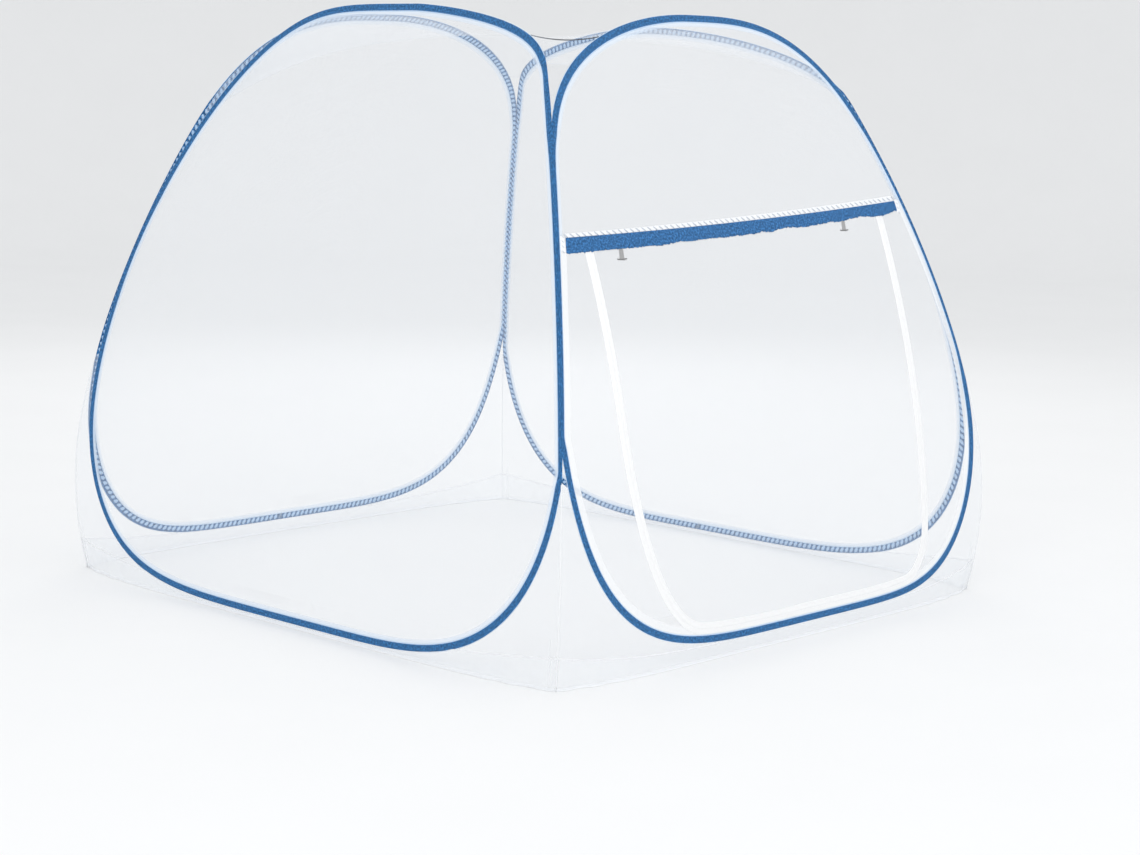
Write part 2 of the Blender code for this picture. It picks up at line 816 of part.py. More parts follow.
def build():
    for old in list(bpy.data.objects):
        bpy.data.objects.remove(old, do_unlink=True)
    for wall in WALLS:
        binding(wall)
    for wall in ("foot", "head", "rear"):
        panel(wall)
    upper_net()
    facing()
    path = zip_tape()
    door_leaf(path)
    side_net("door_side_net_left", path, "near")
    side_net("door_side_net_right", path, "far")
    hem = valance()
    for name, x in TOGGLES.items():
        toggle(name, x, hem)
    roof()
    skirt()
    corner_net("corner_net_foot_door", "near", 0)
    corner_net("corner_net_head_rear", "near", 1)
    corner_net("corner_net_foot_rear", "far", 0)
    corner_net("corner_net_head_door", "far", 1)
    corner_cord()


build()
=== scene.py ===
"""Pop-up mosquito net tent: cloth, net, stitching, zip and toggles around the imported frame.

Each wall is one bent surface, and its cloth is first laid out flat, as (along, height) in metres, and
then draped on the wall. Along runs towards a wall's near end. The head wall is the foot wall turned
half a turn about Z, and the rear wall is the door wall turned the same way.
"""

import functools
import math
import bmesh
import bpy
from mathutils import Matrix, Vector, noise


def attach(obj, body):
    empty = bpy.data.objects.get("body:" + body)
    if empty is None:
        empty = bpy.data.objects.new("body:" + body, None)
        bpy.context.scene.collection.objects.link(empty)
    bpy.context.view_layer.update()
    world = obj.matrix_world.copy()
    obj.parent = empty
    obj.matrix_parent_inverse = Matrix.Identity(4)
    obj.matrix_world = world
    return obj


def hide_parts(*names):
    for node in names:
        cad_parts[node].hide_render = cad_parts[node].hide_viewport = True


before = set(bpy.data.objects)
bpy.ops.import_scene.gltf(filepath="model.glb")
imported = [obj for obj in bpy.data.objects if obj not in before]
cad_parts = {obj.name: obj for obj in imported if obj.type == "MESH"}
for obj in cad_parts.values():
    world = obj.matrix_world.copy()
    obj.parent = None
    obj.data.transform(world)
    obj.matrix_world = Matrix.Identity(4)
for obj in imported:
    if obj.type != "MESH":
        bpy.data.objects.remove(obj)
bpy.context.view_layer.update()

bl_info = {
    "name": "Pop-up mosquito net tent",
    "version": (1, 0, 0),
    "blender": (4, 5, 0),
    "location": "3D Viewport > Sidebar > Net tent",
    "description": "Builds a pop-up mosquito net tent piece by piece",
    "category": "Add Mesh",
}

# Plan and walls, as in the frame
HALF_X, HALF_Y = 0.90, 1.00
LEAN = {"foot": (0.04, 0.125), "head": (0.04, 0.125), "door": (0.0, 0.18)}   # per height, per its square
TUCK, TUCK_HEIGHT, TUCK_POWER = 0.05, 0.50, 6       # how the lower corners are drawn in
BAND_HALF, JOINED_HALF = 0.0095, 0.0043             # half widths of a binding, free and joined
CORNER_INSET, SPREAD_RATE = 0.006, 0.5              # from the crease to a joined middle; how it widens
TENT_MIDDLE = Vector((0, 0, 0.8))
HOOPS = {  # each quarter: the height where it starts to turn in, how flat it is there, how full at its end
    "foot": {
        "bottom": 0.022, "top": 1.615, "bottom_middle": 0.11, "top_middle": 0.07,
        "quarters": {
            ("near", "bottom"): (0.53, 1.40, 4.25), ("far", "bottom"): (1.40, 4.30, 5.00),
            ("near", "top"): (1.40, 4.35, 1.35), ("far", "top"): (0.39, 6.00, 5.00),
        },
    },
    "head": {
        "bottom": 0.022, "top": 1.578, "bottom_middle": 0.11, "top_middle": 0.05,
        "quarters": {
            ("near", "bottom"): (0.53, 1.40, 4.25), ("far", "bottom"): (1.40, 4.30, 5.00),
            ("near", "top"): (1.40, 2.60, 1.50), ("far", "top"): (1.36, 2.60, 1.80),
        },
    },
    "door": {
        "bottom": 0.050, "top": 1.600, "bottom_middle": -0.09, "top_middle": -0.04,
        "quarters": {
            ("near", "bottom"): (0.61, 1.30, 4.95), ("far", "bottom"): (0.74, 2.00, 5.00),
            ("near", "top"): (1.18, 3.45, 1.90), ("far", "top"): (1.09, 4.80, 3.30),
        },
    },
}
WALLS = {"foot": ("foot", 0), "door": ("door", 0), "head": ("head", 1), "rear": ("door", 1)}
CORNERS = {  # corner net: (side of the two walls, half turns)
    "corner_net_foot_door": ("near", 0), "corner_net_head_rear": ("near", 1),
    "corner_net_foot_rear": ("far", 0), "corner_net_head_door": ("far", 1),
}
SEGMENTS = 150                      # stretches of each half of a hoop
BEND_WEIGHT = 0.30                  # how much closer together points are put where a hoop bends

# Visible binding: wider than the frame's, as cloth lies round the wire
STRIP_JOINED_HALF = 0.0078          # half width while sewn to its neighbour
STRIP_FREE_GAIN = 0.0032            # what it gains once free
STRIP_LOW_GAIN = 0.0018             # what the door's gains at its lower far side
STRIP_PULL = 0.0014                 # how far its middle is drawn in while joined
STRIP_FREE_AT = 0.006               # how far off the join it is fully free
LAP, LAP_HEIGHT, LAP_SPREAD = 0.0024, 1.36, 0.08    # where it laps over the door wall's binding
HIDDEN_EDGE = 0.003                 # how far the joined edge's overcasting is moved out of sight
CLOTH_LIFT = 0.0009

# Door
SEAM = (1.079, 0.0375, 0.0184)      # height, slope and sag of the top seam
VALANCE_ENDS = (-0.686, 0.664)
VALANCE_SWING = 0.009               # how far its left edge runs outward on its way down
FACING_WIDTH = 0.0213
ZIP_HALF = 0.015
UNDER_ZIP = 0.001                   # how far a net reaches under the zip's tape
# Place of each upright run, and the width and height of its bend
ZIP_LEFT, ZIP_RIGHT = (-0.615, 0.26, 0.54), (0.578, 0.11, 0.15)
TAPE_LIFT = 0.0010                  # half the thickness of the heading tape and its tabs
TOGGLES = {"toggle_left": -0.500, "toggle_right": 0.410}

# Net
FAR_FROM_EDGE = 0.2                 # stands for any place well inside a piece of cloth
NET_PITCH = 0.0022                  # from one mesh to the next
# In from the binding's inner edge: under it, to either side of the hem's edge, and on the open net
NET_LINES = (-0.002, 0.0105, 0.0125, 0.045)
SEAM_UNDER = -0.0015                # a seam line lies this far under the binding's outer edge

# Skirt and roof
SKIRT_CORNER = 0.085
SKIRT_MIDDLE = {"foot": 0.0115, "head": 0.0115, "door": 0.0395}
SKIRT_RISE = {"foot": 1.35, "head": 1.35, "door": 3.5}
ROOF_CROWN, ROOF_POWER = 1.55, 3.0
PARTING = 0.004                     # this far off the join, a hoop has parted from its neighbour
FOLD_TOP, FOLD_IN = 0.13, 0.021     # the second seam beside a lower corner: its top, and how far in

# Cord
CORD_HEIGHT, CORD_SAG, CORD_RADIUS = 1.545, 0.010, 0.0014

# Rows of thread: pitch, length, width and height of a stitch, and its slant if it has one
EDGE_STITCH = (0.0056, 0.0034, 0.0014, 0.0010, 1.1)
STRIPE_STITCH = (0.0180, 0.0230, 0.0120, 0.0026, 0.85)
ZIP_STITCH = (0.0040, 0.0027, 0.0006, 0.0006)
ZIP_TOOTH = (0.0013, 0.0045, 0.0010)            # its pitch is the zip's
HATCH_STITCH = (0.0190, 0.0050, 0.0012)         # its pitch and slant are the tape's
TAB_STITCH = (0.011, 0.0110, 0.0022, 0.0010, 0.9)
CORNER_STITCH = (0.0060, 0.0040, 0.0022, 0.0016, 0.9)
SKIRT_STITCH = (0.0065, 0.0042, 0.0012, 0.0012, 0.6)

CAMERA_AT = (-4.839, -4.778, 1.472)
CAMERA_YAW, CAMERA_PITCH, CAMERA_ROLL = 46.411, 8.600, 1.059   # degrees
CAMERA_LENS = 75.6                                             # mm on a 36 mm sensor


# --- Shape -----------------------------------------------------------------------------------------

def clamp(value):
    return min(1.0, max(0.0, value))


def smooth_step(value):
    t = clamp(value)
    return t * t * (3 - 2 * t)


def mix(a, b, share):
    return tuple(p + (q - p) * share for p, q in zip(a, b))


def lean(kind, height):
    a, b = LEAN[kind]
    return a * height + b * height * height


def tuck(height):
    return TUCK * max(0.0, 1 - height / TUCK_HEIGHT) ** 2


def reach(kind, height):
    """How far along a wall its corner line lies."""
    if kind == "door":
        return HALF_X - lean("foot", height) - tuck(height)
    return HALF_Y - lean("door", height) - tuck(height)


def joined_line(kind, height):
    """Where a binding's middle runs while it is sewn to its neighbour."""
    if kind == "door":
        return HALF_X - lean("foot", height) - CORNER_INSET
    return HALF_Y - lean("door", height) - CORNER_INSET


def off_join(kind, point):
    """How far a point of a hoop stands off the line where bindings are sewn together."""
    return joined_line(kind, point[1]) - abs(point[0])


def turned(point, half_turns):
    return Vector((-point.x, -point.y, point.z)) if half_turns % 2 else point


def on_wall(wall, along, height, out=0.0):
    kind, half_turns = WALLS[wall]
    share = min(1.0, abs(along) / reach(kind, height))
    inward = lean(kind, height) + tuck(height) * share ** TUCK_POWER
    a, b = LEAN[kind]
    rate = a + 2 * b * height
    length = math.hypot(1.0, rate)
    depth, rise = inward - out / length, out * rate / length
    if kind == "door":
        point = Vector((-along, -HALF_Y + depth, height + rise))
    else:
        point = Vector((-HALF_X + depth, -along, height + rise))
    return turned(point, half_turns)


def out_of_wall(wall, along, height):
    return (on_wall(wall, along, height, 1.0) - on_wall(wall, along, height)).normalized()


def hoop_width(kind, side, height):
    """How far a hoop's middle line stands from the wall's middle."""
    hoop = HOOPS[kind]
    sign = 1 if side == "near" else -1
    share = (height - hoop["bottom"]) / (hoop["top"] - hoop["bottom"])
    middle = sign * (hoop["bottom_middle"] + (hoop["top_middle"] - hoop["bottom_middle"]) * share)
    close = 1.0
    for end in ("bottom", "top"):
        start, flat, full = hoop["quarters"][side, end]
        part = clamp((start - height) / (start - hoop[end]))
        close *= max(0.0, 1 - part ** flat) ** (1 / full)
    return middle + (joined_line(kind, height) - middle) * close


def resample(points, count, bend=0.0):
    marks = [0.0]
    for k in range(1, len(points)):
        step = math.dist(points[k - 1], points[k])
        if bend and k < len(points) - 1:
            a, b, c = points[k - 1:k + 2]
            before = math.atan2(b[1] - a[1], b[0] - a[0])
            after = math.atan2(c[1] - b[1], c[0] - b[0])
            step += bend * abs(math.remainder(after - before, math.tau))
        marks.append(marks[-1] + step)
    result, spot = [], 0
    for k in range(count + 1):
        target = marks[-1] * k / count
        while spot < len(marks) - 2 and marks[spot + 1] < target:
            spot += 1
        inside = (target - marks[spot]) / (marks[spot + 1] - marks[spot])
        result.append(mix(points[spot], points[spot + 1], clamp(inside)))
    return result


def side_at(path, k, closed=False):
    """The direction square to a path at its point k, to the right of its run."""
    if closed:
        before, after = path[k - 1], path[(k + 1) % len(path)]
    else:
        before, after = path[max(0, k - 1)], path[min(len(path) - 1, k + 1)]
    run = (after[0] - before[0], after[1] - before[1])
    length = math.hypot(*run)
    return run[1] / length, -run[0] / length


def aside(point, side, distance):
    return point[0] + side[0] * distance, point[1] + side[1] * distance


@functools.lru_cache
def hoop_ring(kind):
    """The hoop's middle line, closed, up the near side and down the far side."""
    hoop = HOOPS[kind]
    sides = []
    for side, sign in (("near", 1), ("far", -1)):
        points = []
        for k in range(1201):
            s = k / 1200
            share = 0.5 * (2 * s) ** 5 if s < 0.5 else 1 - 0.5 * (2 - 2 * s) ** 5
            height = hoop["bottom"] + (hoop["top"] - hoop["bottom"]) * share
            points.append((sign * hoop_width(kind, side, height), height))
        sides.append(resample(points, SEGMENTS, BEND_WEIGHT))
    return sides[0] + sides[1][-2:0:-1]


def band_half(kind, point):
    return JOINED_HALF + min(BAND_HALF - JOINED_HALF, SPREAD_RATE * max(0.0, off_join(kind, point)))


@functools.lru_cache
def hoop_line(kind, edge, past):
    """A line beside the hoop's binding: edge is 1 outside and -1 inside, past is metres beyond it."""
    ring = hoop_ring(kind)
    return [aside(point, side_at(ring, k, closed=True), edge * (band_half(kind, point) + past))
            for k, point in enumerate(ring)]


def halves(ring):
    """A ring as its near and far halves, each from the bottom to the top."""
    return ring[:SEGMENTS + 1], [ring[0]] + ring[:SEGMENTS - 1:-1]


def seam_height(x):
    """The top seam of the door, where the valance hangs."""
    level, slope, sag = SEAM
    return level + slope * x + sag * x * x


def height_on(points, along):
    """Height of a line at along."""
    ordered = sorted(points)
    for a, b in zip(ordered, ordered[1:]):
        if a[0] <= along <= b[0]:
            return a[1] + (b[1] - a[1]) * (along - a[0]) / max(1e-9, b[0] - a[0])
    return ordered[0][1] if along < ordered[0][0] else ordered[-1][1]


def along_at(points, height):
    """The last point of a rising line at a height."""
    for a, b in reversed(list(zip(points, points[1:]))):
        if a[1] <= height <= b[1]:
            return mix(a, b, (height - a[1]) / max(1e-9, b[1] - a[1]))
    return points[-1]


def parting_height(kind, side, end):
    target = HOOPS[kind][end]
    for k in range(400):
        height = 0.9 + (target - 0.9) * k / 400
        if joined_line(kind, height) - hoop_width(kind, side, height) > PARTING:
            return height
    return target


@functools.lru_cache
def low_edge(kind):
    return [p for p in hoop_line(kind, 1, 0.0008) if p[1] < 0.35]


@functools.lru_cache
def skirt_top(kind, along):
    """Height of the seam between the skirt and the nets above it."""
    share = min(1.0, abs(along) / reach(kind, SKIRT_CORNER))
    wanted = SKIRT_MIDDLE[kind] + (SKIRT_CORNER - SKIRT_MIDDLE[kind]) * share ** SKIRT_RISE[kind]
    return wanted if share > 0.8 else min(wanted, height_on(low_edge(kind), along))


def corner_point(side, half_turns, height, out=0.0):
    """The crease where two walls meet."""
    a = on_wall("foot", reach("foot", height), height, out)
    b = on_wall("door", reach("door", height), height, out)
    return turned(Vector((a.x, b.y if side == "near" else -b.y, height)), half_turns)


def door_zip_path():
    """The zip's middle line as (along, height), down the left, along the bottom and up the right.

    Along the bottom it lies on the facing.
    """
    floor_line = [p for half in halves(hoop_line("door", -1, ZIP_HALF + 0.002)) for p in half if p[1] < 0.5]
    sides = []
    for x, width, rise in (ZIP_LEFT, ZIP_RIGHT):
        toward = 1 if x < 0 else -1
        foot_x = x + toward * width
        bend = height_on(floor_line, -foot_x) + rise
        top = seam_height(x)
        run = [(-x, top + (bend - top) * k / 24) for k in range(24)]
        for k in range(25):
            angle = math.pi / 2 * k / 24
            px, pz = x + toward * width * (1 - math.cos(angle)), bend - rise * math.sin(angle)
            run.append((-px, max(pz, height_on(floor_line, -px))))
        sides.append(run)
    left, right = sides
    bottom = []
    for k in range(1, 30):
        u = left[-1][0] + (right[-1][0] - left[-1][0]) * k / 30
        bottom.append((u, height_on(floor_line, u)))
    return left + bottom + right[::-1]


def beside(path, distance):
    """A line beside an open path; positive is to the left of its run."""
    return [aside(point, side_at(path, k), -distance) for k, point in enumerate(path)]


# --- Making meshes ---------------------------------------------------------------------------------

def finish_piece(name, mesh, material, replaces=()):
    mesh.materials.clear()
    mesh.materials.append(material)
    for face in mesh.polygons:
        face.use_smooth = True
    piece = bpy.data.objects.new(name, mesh)
    bpy.context.scene.collection.objects.link(piece)
    if replaces:
        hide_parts(*replaces)
    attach(piece, "root")
    return piece


def tidy_up(bm):
    bmesh.ops.remove_doubles(bm, verts=bm.verts, dist=1e-6)
    bmesh.ops.dissolve_degenerate(bm, edges=bm.edges, dist=1e-7)


def face_outward(bm):
    """Turns an open sheet's faces away from the middle of the tent."""
    bm.normal_update()
    facing = sum((f.normal.dot(f.calc_center_median() - TENT_MIDDLE) for f in bm.faces), 0.0)
    if facing < 0:
        bmesh.ops.reverse_faces(bm, faces=bm.faces)


def to_mesh(name, bm):
    mesh = bpy.data.meshes.new(name)
    bm.to_mesh(mesh)
    bm.free()
    return mesh


def grid_faces(grid):
    """The corners of each face between the rows of a grid."""
    for i in range(len(grid) - 1):
        for j in range(len(grid[0]) - 1):
            yield (i, j), (i, j + 1), (i + 1, j + 1), (i + 1, j)


def flat_pattern(rows, edge_gap=None):
    """A flat piece of cloth from rows of (along, height); edge_gap is rows of metres to its edge."""
    bm = bmesh.new()
    gap_layer = bm.verts.layers.float.new("edge_gap")
    grid = []
    for i, row in enumerate(rows):
        grid.append([bm.verts.new((u, z, 0)) for u, z in row])
        for j, vert in enumerate(grid[i]):
            vert[gap_layer] = edge_gap[i][j] if edge_gap else FAR_FROM_EDGE
    for corners in grid_faces(grid):
        bm.faces.new([grid[i][j] for i, j in corners])
    tidy_up(bm)
    return bm


def trim_at_seam(bm, keep_above):
    """Cuts a flat pattern along the door's top seam."""
    for vert in bm.verts:
        vert.co.y -= seam_height(-vert.co.x)
    bmesh.ops.bisect_plane(bm, geom=bm.verts[:] + bm.edges[:] + bm.faces[:], plane_co=(0, 0, 0),
                           plane_no=(0, 1, 0), clear_inner=keep_above, clear_outer=not keep_above)
    for vert in bm.verts:
        vert.co.y += seam_height(-vert.co.x)
    return bm


def cut_size(bm):
    """Width, length and area of a flat pattern."""
    xs, ys = [v.co.x for v in bm.verts], [v.co.y for v in bm.verts]
    return max(xs) - min(xs), max(ys) - min(ys), sum(f.calc_area() for f in bm.faces)


def ease(point, amount):
    """The slack of a hung net, as metres in and out of its surface."""
    return amount * noise.noise(point * 2.2) + 0.4 * amount * noise.noise(point * 6.1 + Vector((7, 3, 1)))


def drape(name, bm, wall, slack=0.0):
    """Hangs a flat pattern on a wall, with its UVs in metres of cloth."""
    width, length, area = cut_size(bm)
    uv_layer = bm.loops.layers.uv.new("cloth")
    for face in bm.faces:
        for loop in face.loops:
            loop[uv_layer].uv = (loop.vert.co.x, loop.vert.co.y)
    gap_layer = bm.verts.layers.float["edge_gap"]
    for vert in bm.verts:
        u, z = vert.co.x, vert.co.y
        loose = clamp((vert[gap_layer] - 0.01) / 0.08)
        if wall == "door":
            loose *= smooth_step((abs(z - seam_height(-u)) - 0.045) / 0.12)
        vert.co = on_wall(wall, u, z, loose * ease(on_wall(wall, u, z), slack))
    face_outward(bm)
    return to_mesh(name, bm), (round(width, 3), round(length, 3)), round(area, 4)


def surface(name, rows, uvs, gaps=None, closed_solid=False, outer=None, extra=None):
    """A mesh from rows of points with their UVs; gaps and outer are rows of metres to its edges.

    extra is a second grid, as its own (rows, uvs, gaps), joined to the first where they meet.
    """
    bm = bmesh.new()
    uv_layer = bm.loops.layers.uv.new("cloth")
    gap_layer = bm.verts.layers.float.new("edge_gap")
    outer_layer = bm.verts.layers.float.new("outer_gap")
    for points, places, depths in [(rows, uvs, gaps)] + ([extra] if extra else []):
        grid = []
        for i, row in enumerate(points):
            grid.append([bm.verts.new(point) for point in row])
            for j, vert in enumerate(grid[i]):
                vert[gap_layer] = depths[i][j] if depths else FAR_FROM_EDGE
                vert[outer_layer] = outer[i][j] if outer else FAR_FROM_EDGE
        for corners in grid_faces(grid):
            face = bm.faces.new([grid[i][j] for i, j in corners])
            for loop, (i, j) in zip(face.loops, corners):
                loop[uv_layer].uv = places[i][j]
    tidy_up(bm)
    if extra:
        bmesh.ops.recalc_face_normals(bm, faces=bm.faces)
    if closed_solid:
        bmesh.ops.holes_fill(bm, edges=[e for e in bm.edges if e.is_boundary])
        bmesh.ops.recalc_face_normals(bm, faces=bm.faces)
    else:
        face_outward(bm)
    area = sum(f.calc_area() for f in bm.faces)
    return to_mesh(name, bm), area


def rounded(a, power):
    """Flat across a strip, falling to nothing at its edges; a is the share of its half width."""
    return max(0.0, 1 - abs(a) ** power) ** 0.5


def ribbon(name, wall, path, half_widths, profile, closed=False, hidden=None):
    """A strip of cloth with body, along a path on a wall.

    profile(k, a) gives the lift of its face at point k and share a of its half width, from -1 to 1,
    and the strip's back is the same face mirrored. hidden, in metres for each point, moves the outer
    edge's overcasting out of sight where the strip is sewn to the next one.
    """
    shares = [1.0, 0.96, 0.86, 0.7, 0.5, 0.25, 0.0, -0.3, -0.6, -0.85, -0.96, -1.0]
    loop = [(a, 1) for a in shares] + [(a, -1) for a in shares[-2::-1]]
    rows, uvs, gaps, outer = [], [], [], []
    travelled = 0.0
    stations = list(range(len(path))) + ([0] if closed else [])
    for n, k in enumerate(stations):
        if n:
            travelled += math.dist(path[stations[n - 1]], path[k])
        side, half = side_at(path, k, closed), half_widths[k]
        row, uv, gap = [], [], []
        outer.append([(1 - a) * half + (hidden[k] if hidden else 0.0) for a, _ in loop])
        for a, face in loop:
            u, z = path[k][0] + side[0] * a * half, path[k][1] + side[1] * a * half
            row.append(on_wall(wall, u, z, face * profile(k, a)))
            uv.append((travelled, a * half + (0.05 if face < 0 else 0.0)))
            gap.append((1 + a) * half)
        rows.append(row)
        uvs.append(uv)
        gaps.append(gap)
    return surface(name, rows, uvs, gaps, closed_solid=True, outer=outer)[0]


def tube(name, points, radius, sides=10):
    """A round thread or cord along points."""
    rows, uvs = [], []
    travelled = 0.0
    for k, point in enumerate(points):
        if k:
            travelled += (point - points[k - 1]).length
        run = (points[min(k + 1, len(points) - 1)] - points[max(k - 1, 0)]).normalized()
        across = run.cross(Vector((0.3, 0.2, 1))).normalized()
        up = across.cross(run)
        angles = [math.tau * j / sides for j in range(sides + 1)]
        rows.append([point + radius * (across * math.cos(t) + up * math.sin(t)) for t in angles])
        uvs.append([(travelled, t * radius) for t in angles])
    return surface(name, rows, uvs, closed_solid=True)[0]


# --- Materials -------------------------------------------------------------------------------------

def node_group(name, inputs, outputs):
    group = bpy.data.node_groups.new(name, "ShaderNodeTree")
    for label, kind, value in inputs:
        socket = group.interface.new_socket(label, in_out="INPUT", socket_type=kind)
        if value is not None:
            socket.default_value = value
    for label, kind in outputs:
        group.interface.new_socket(label, in_out="OUTPUT", socket_type=kind)
    return group, group.nodes.new("NodeGroupInput"), group.nodes.new("NodeGroupOutput")


def feed(tree, node, **inputs):
    """Feeds a node's inputs, by name or as i0, i1 and so on, each with a value or from a socket."""
    for key, value in inputs.items():
        by_number = key[0] == "i" and key[1:].isdigit()
        socket = node.inputs[int(key[1:]) if by_number else key.replace("_", " ")]
        if isinstance(value, bpy.types.NodeSocket):
            tree.links.new(value, socket)
        else:
            socket.default_value = value


def put(tree, kind, settings=None, **inputs):
    """A new node with its settings and inputs."""
    node = tree.nodes.new(kind)
    for key, value in (settings or {}).items():
        setattr(node, key, value)
    feed(tree, node, **inputs)
    return node


def math_node(tree, operation, a, b=0.0, c=None):
    inputs = {"i0": a, "i1": b}
    if c is not None:
        inputs["i2"] = c
    return put(tree, "ShaderNodeMath", {"operation": operation}, **inputs).outputs[0]


def edge_distance(tree, name):
    return put(tree, "ShaderNodeAttribute", {"attribute_name": name}).outputs["Fac"]


def smooth_range(tree, value, low, high, start=1.0, end=0.0):
    """Runs smoothly from start to end as value goes from low to high."""
    return put(tree, "ShaderNodeMapRange", {"interpolation_type": "SMOOTHSTEP"},
               i0=value, i1=low, i2=high, i3=start, i4=end).outputs[0]


def blend(tree, share, first, second, how="MIX"):
    return put(tree, "ShaderNodeMix", {"data_type": "RGBA", "blend_type": how},
               i0=share, i6=first, i7=second).outputs[2]


def grain(tree, place, scale, detail, **more):
    noise_node = put(tree, "ShaderNodeTexNoise", None, Vector=place, Scale=scale, Detail=detail, **more)
    return noise_node.outputs[0]


def weave_group():
    """Slanted threads with fuzz, from UVs in metres."""
    group, given, out = node_group(
        "cloth_weave",
        [("Vector", "NodeSocketVector", None), ("Pitch", "NodeSocketFloat", 0.002),
         ("Slant", "NodeSocketFloat", 0.8), ("Fuzz", "NodeSocketFloat", 0.5)],
        [("Threads", "NodeSocketFloat"), ("Mottle", "NodeSocketFloat"), ("Fuzz", "NodeSocketFloat")])
    parts = put(group, "ShaderNodeSeparateXYZ", None, i0=given.outputs["Vector"])
    slanted = math_node(group, "MULTIPLY_ADD", parts.outputs[1], given.outputs["Slant"], parts.outputs[0])
    wobble = grain(group, given.outputs["Vector"], 90.0, 3.0)
    moved = math_node(group, "MULTIPLY_ADD", wobble, 0.0012, slanted)
    phase = math_node(group, "DIVIDE", moved, given.outputs["Pitch"])
    wave = math_node(group, "SINE", math_node(group, "MULTIPLY", phase, math.tau))
    threads = math_node(group, "MULTIPLY_ADD", wave, 0.5, 0.5)
    mottle = grain(group, given.outputs["Vector"], 185.0, 3.0, Roughness=0.6)
    fuzz = grain(group, given.outputs["Vector"], 1500.0, 2.0)
    feed(group, out, Threads=threads, Mottle=mottle,
         Fuzz=math_node(group, "MULTIPLY", fuzz, given.outputs["Fuzz"]))
    return group


def mesh_group():
    """The threads of a fine net, as a mask over UVs in metres."""
    group, given, out = node_group(
        "net_threads",
        [("Vector", "NodeSocketVector", None), ("Pitch", "NodeSocketFloat", NET_PITCH),
         ("Thread", "NodeSocketFloat", 0.10), ("Cover", "NodeSocketFloat", 0.27)],
        [("Cover", "NodeSocketFloat"), ("Threads", "NodeSocketFloat")])
    parts = put(group, "ShaderNodeSeparateXYZ", None, i0=given.outputs["Vector"])
    leaned = math_node(group, "MULTIPLY_ADD", parts.outputs[1], 0.5, parts.outputs[0])
    grid = put(group, "ShaderNodeCombineXYZ", None, X=leaned, Y=parts.outputs[1])
    pitch = given.outputs["Pitch"]
    pitches = put(group, "ShaderNodeCombineXYZ", None, X=pitch, Y=pitch, Z=1.0)
    scaled = put(group, "ShaderNodeVectorMath", {"operation": "DIVIDE"},
                 i0=grid.outputs[0], i1=pitches.outputs[0])
    cells = put(group, "ShaderNodeTexVoronoi",
                {"voronoi_dimensions": "2D", "feature": "DISTANCE_TO_EDGE"},
                Vector=scaled.outputs[0], Scale=1.0, Randomness=0.25)
    threads = smooth_range(group, cells.outputs["Distance"], 0.0, given.outputs["Thread"])
    patches = grain(group, given.outputs["Vector"], 3.0, 2.0)
    even = math_node(group, "MULTIPLY_ADD", patches, 0.24, 0.88)
    fine = math_node(group, "MULTIPLY_ADD", threads, 0.9, 0.62)
    cover = math_node(group, "MULTIPLY", math_node(group, "MULTIPLY", fine, even), given.outputs["Cover"])
    feed(group, out, Cover=cover, Threads=threads)
    return group


def hem_group():
    """The turned edge of a net, from metres to its edge: where it lies, and how much it covers."""
    group, given, out = node_group(
        "turned_hem",
        [("Gap", "NodeSocketFloat", 1.0), ("Width", "NodeSocketFloat", 0.01),
         ("Cover", "NodeSocketFloat", 0.8)],
        [("Mask", "NodeSocketFloat"), ("Cover", "NodeSocketFloat")])
    gap, width, cover = (given.outputs[label] for label in ("Gap", "Width", "Cover"))
    mask = smooth_range(group, gap, math_node(group, "SUBTRACT", width, 0.001),
                        math_node(group, "ADD", width, 0.001))
    deep = smooth_range(group, gap, 0.0015, width, cover, math_node(group, "MULTIPLY", cover, 0.62))
    feed(group, out, Mask=mask, Cover=math_node(group, "MULTIPLY", mask, deep))
    return group


def grain_group():
    """A fine grain, as on thread and plastic."""
    group, given, out = node_group("fine_grain", [("Vector", "NodeSocketVector", None)],
                                   [("Grain", "NodeSocketFloat")])
    feed(group, out, Grain=grain(group, given.outputs["Vector"], 900.0, 3.0))
    return group


def blank_material(name):
    made = bpy.data.materials.new(name)
    made.use_nodes = True
    made.node_tree.nodes.clear()
    shader = made.node_tree.nodes.new("ShaderNodeBsdfPrincipled")
    output = made.node_tree.nodes.new("ShaderNodeOutputMaterial")
    made.node_tree.links.new(shader.outputs[0], output.inputs["Surface"])
    return made, made.node_tree, shader


def ramp(tree, factor, stops):
    node = put(tree, "ShaderNodeValToRGB", None, i0=factor)
    while len(node.color_ramp.elements) < len(stops):
        node.color_ramp.elements.new(0.5)
    for element, (place, color) in zip(node.color_ramp.elements, stops):
        element.position = place
        element.color = (*color, 1)
    return node.outputs[0]


def shade(color, factor):
    return tuple(min(1.0, c * factor) for c in color)


def bump(tree, shader, height, strength, distance):
    node = put(tree, "ShaderNodeBump", None, Height=height, Strength=strength, Distance=distance)
    tree.links.new(node.outputs[0], shader.inputs["Normal"])


def cloth_uv(tree):
    return put(tree, "ShaderNodeUVMap", {"uv_map": "cloth"}).outputs[0]


def on_object(tree):
    return put(tree, "ShaderNodeTexCoord").outputs["Object"]


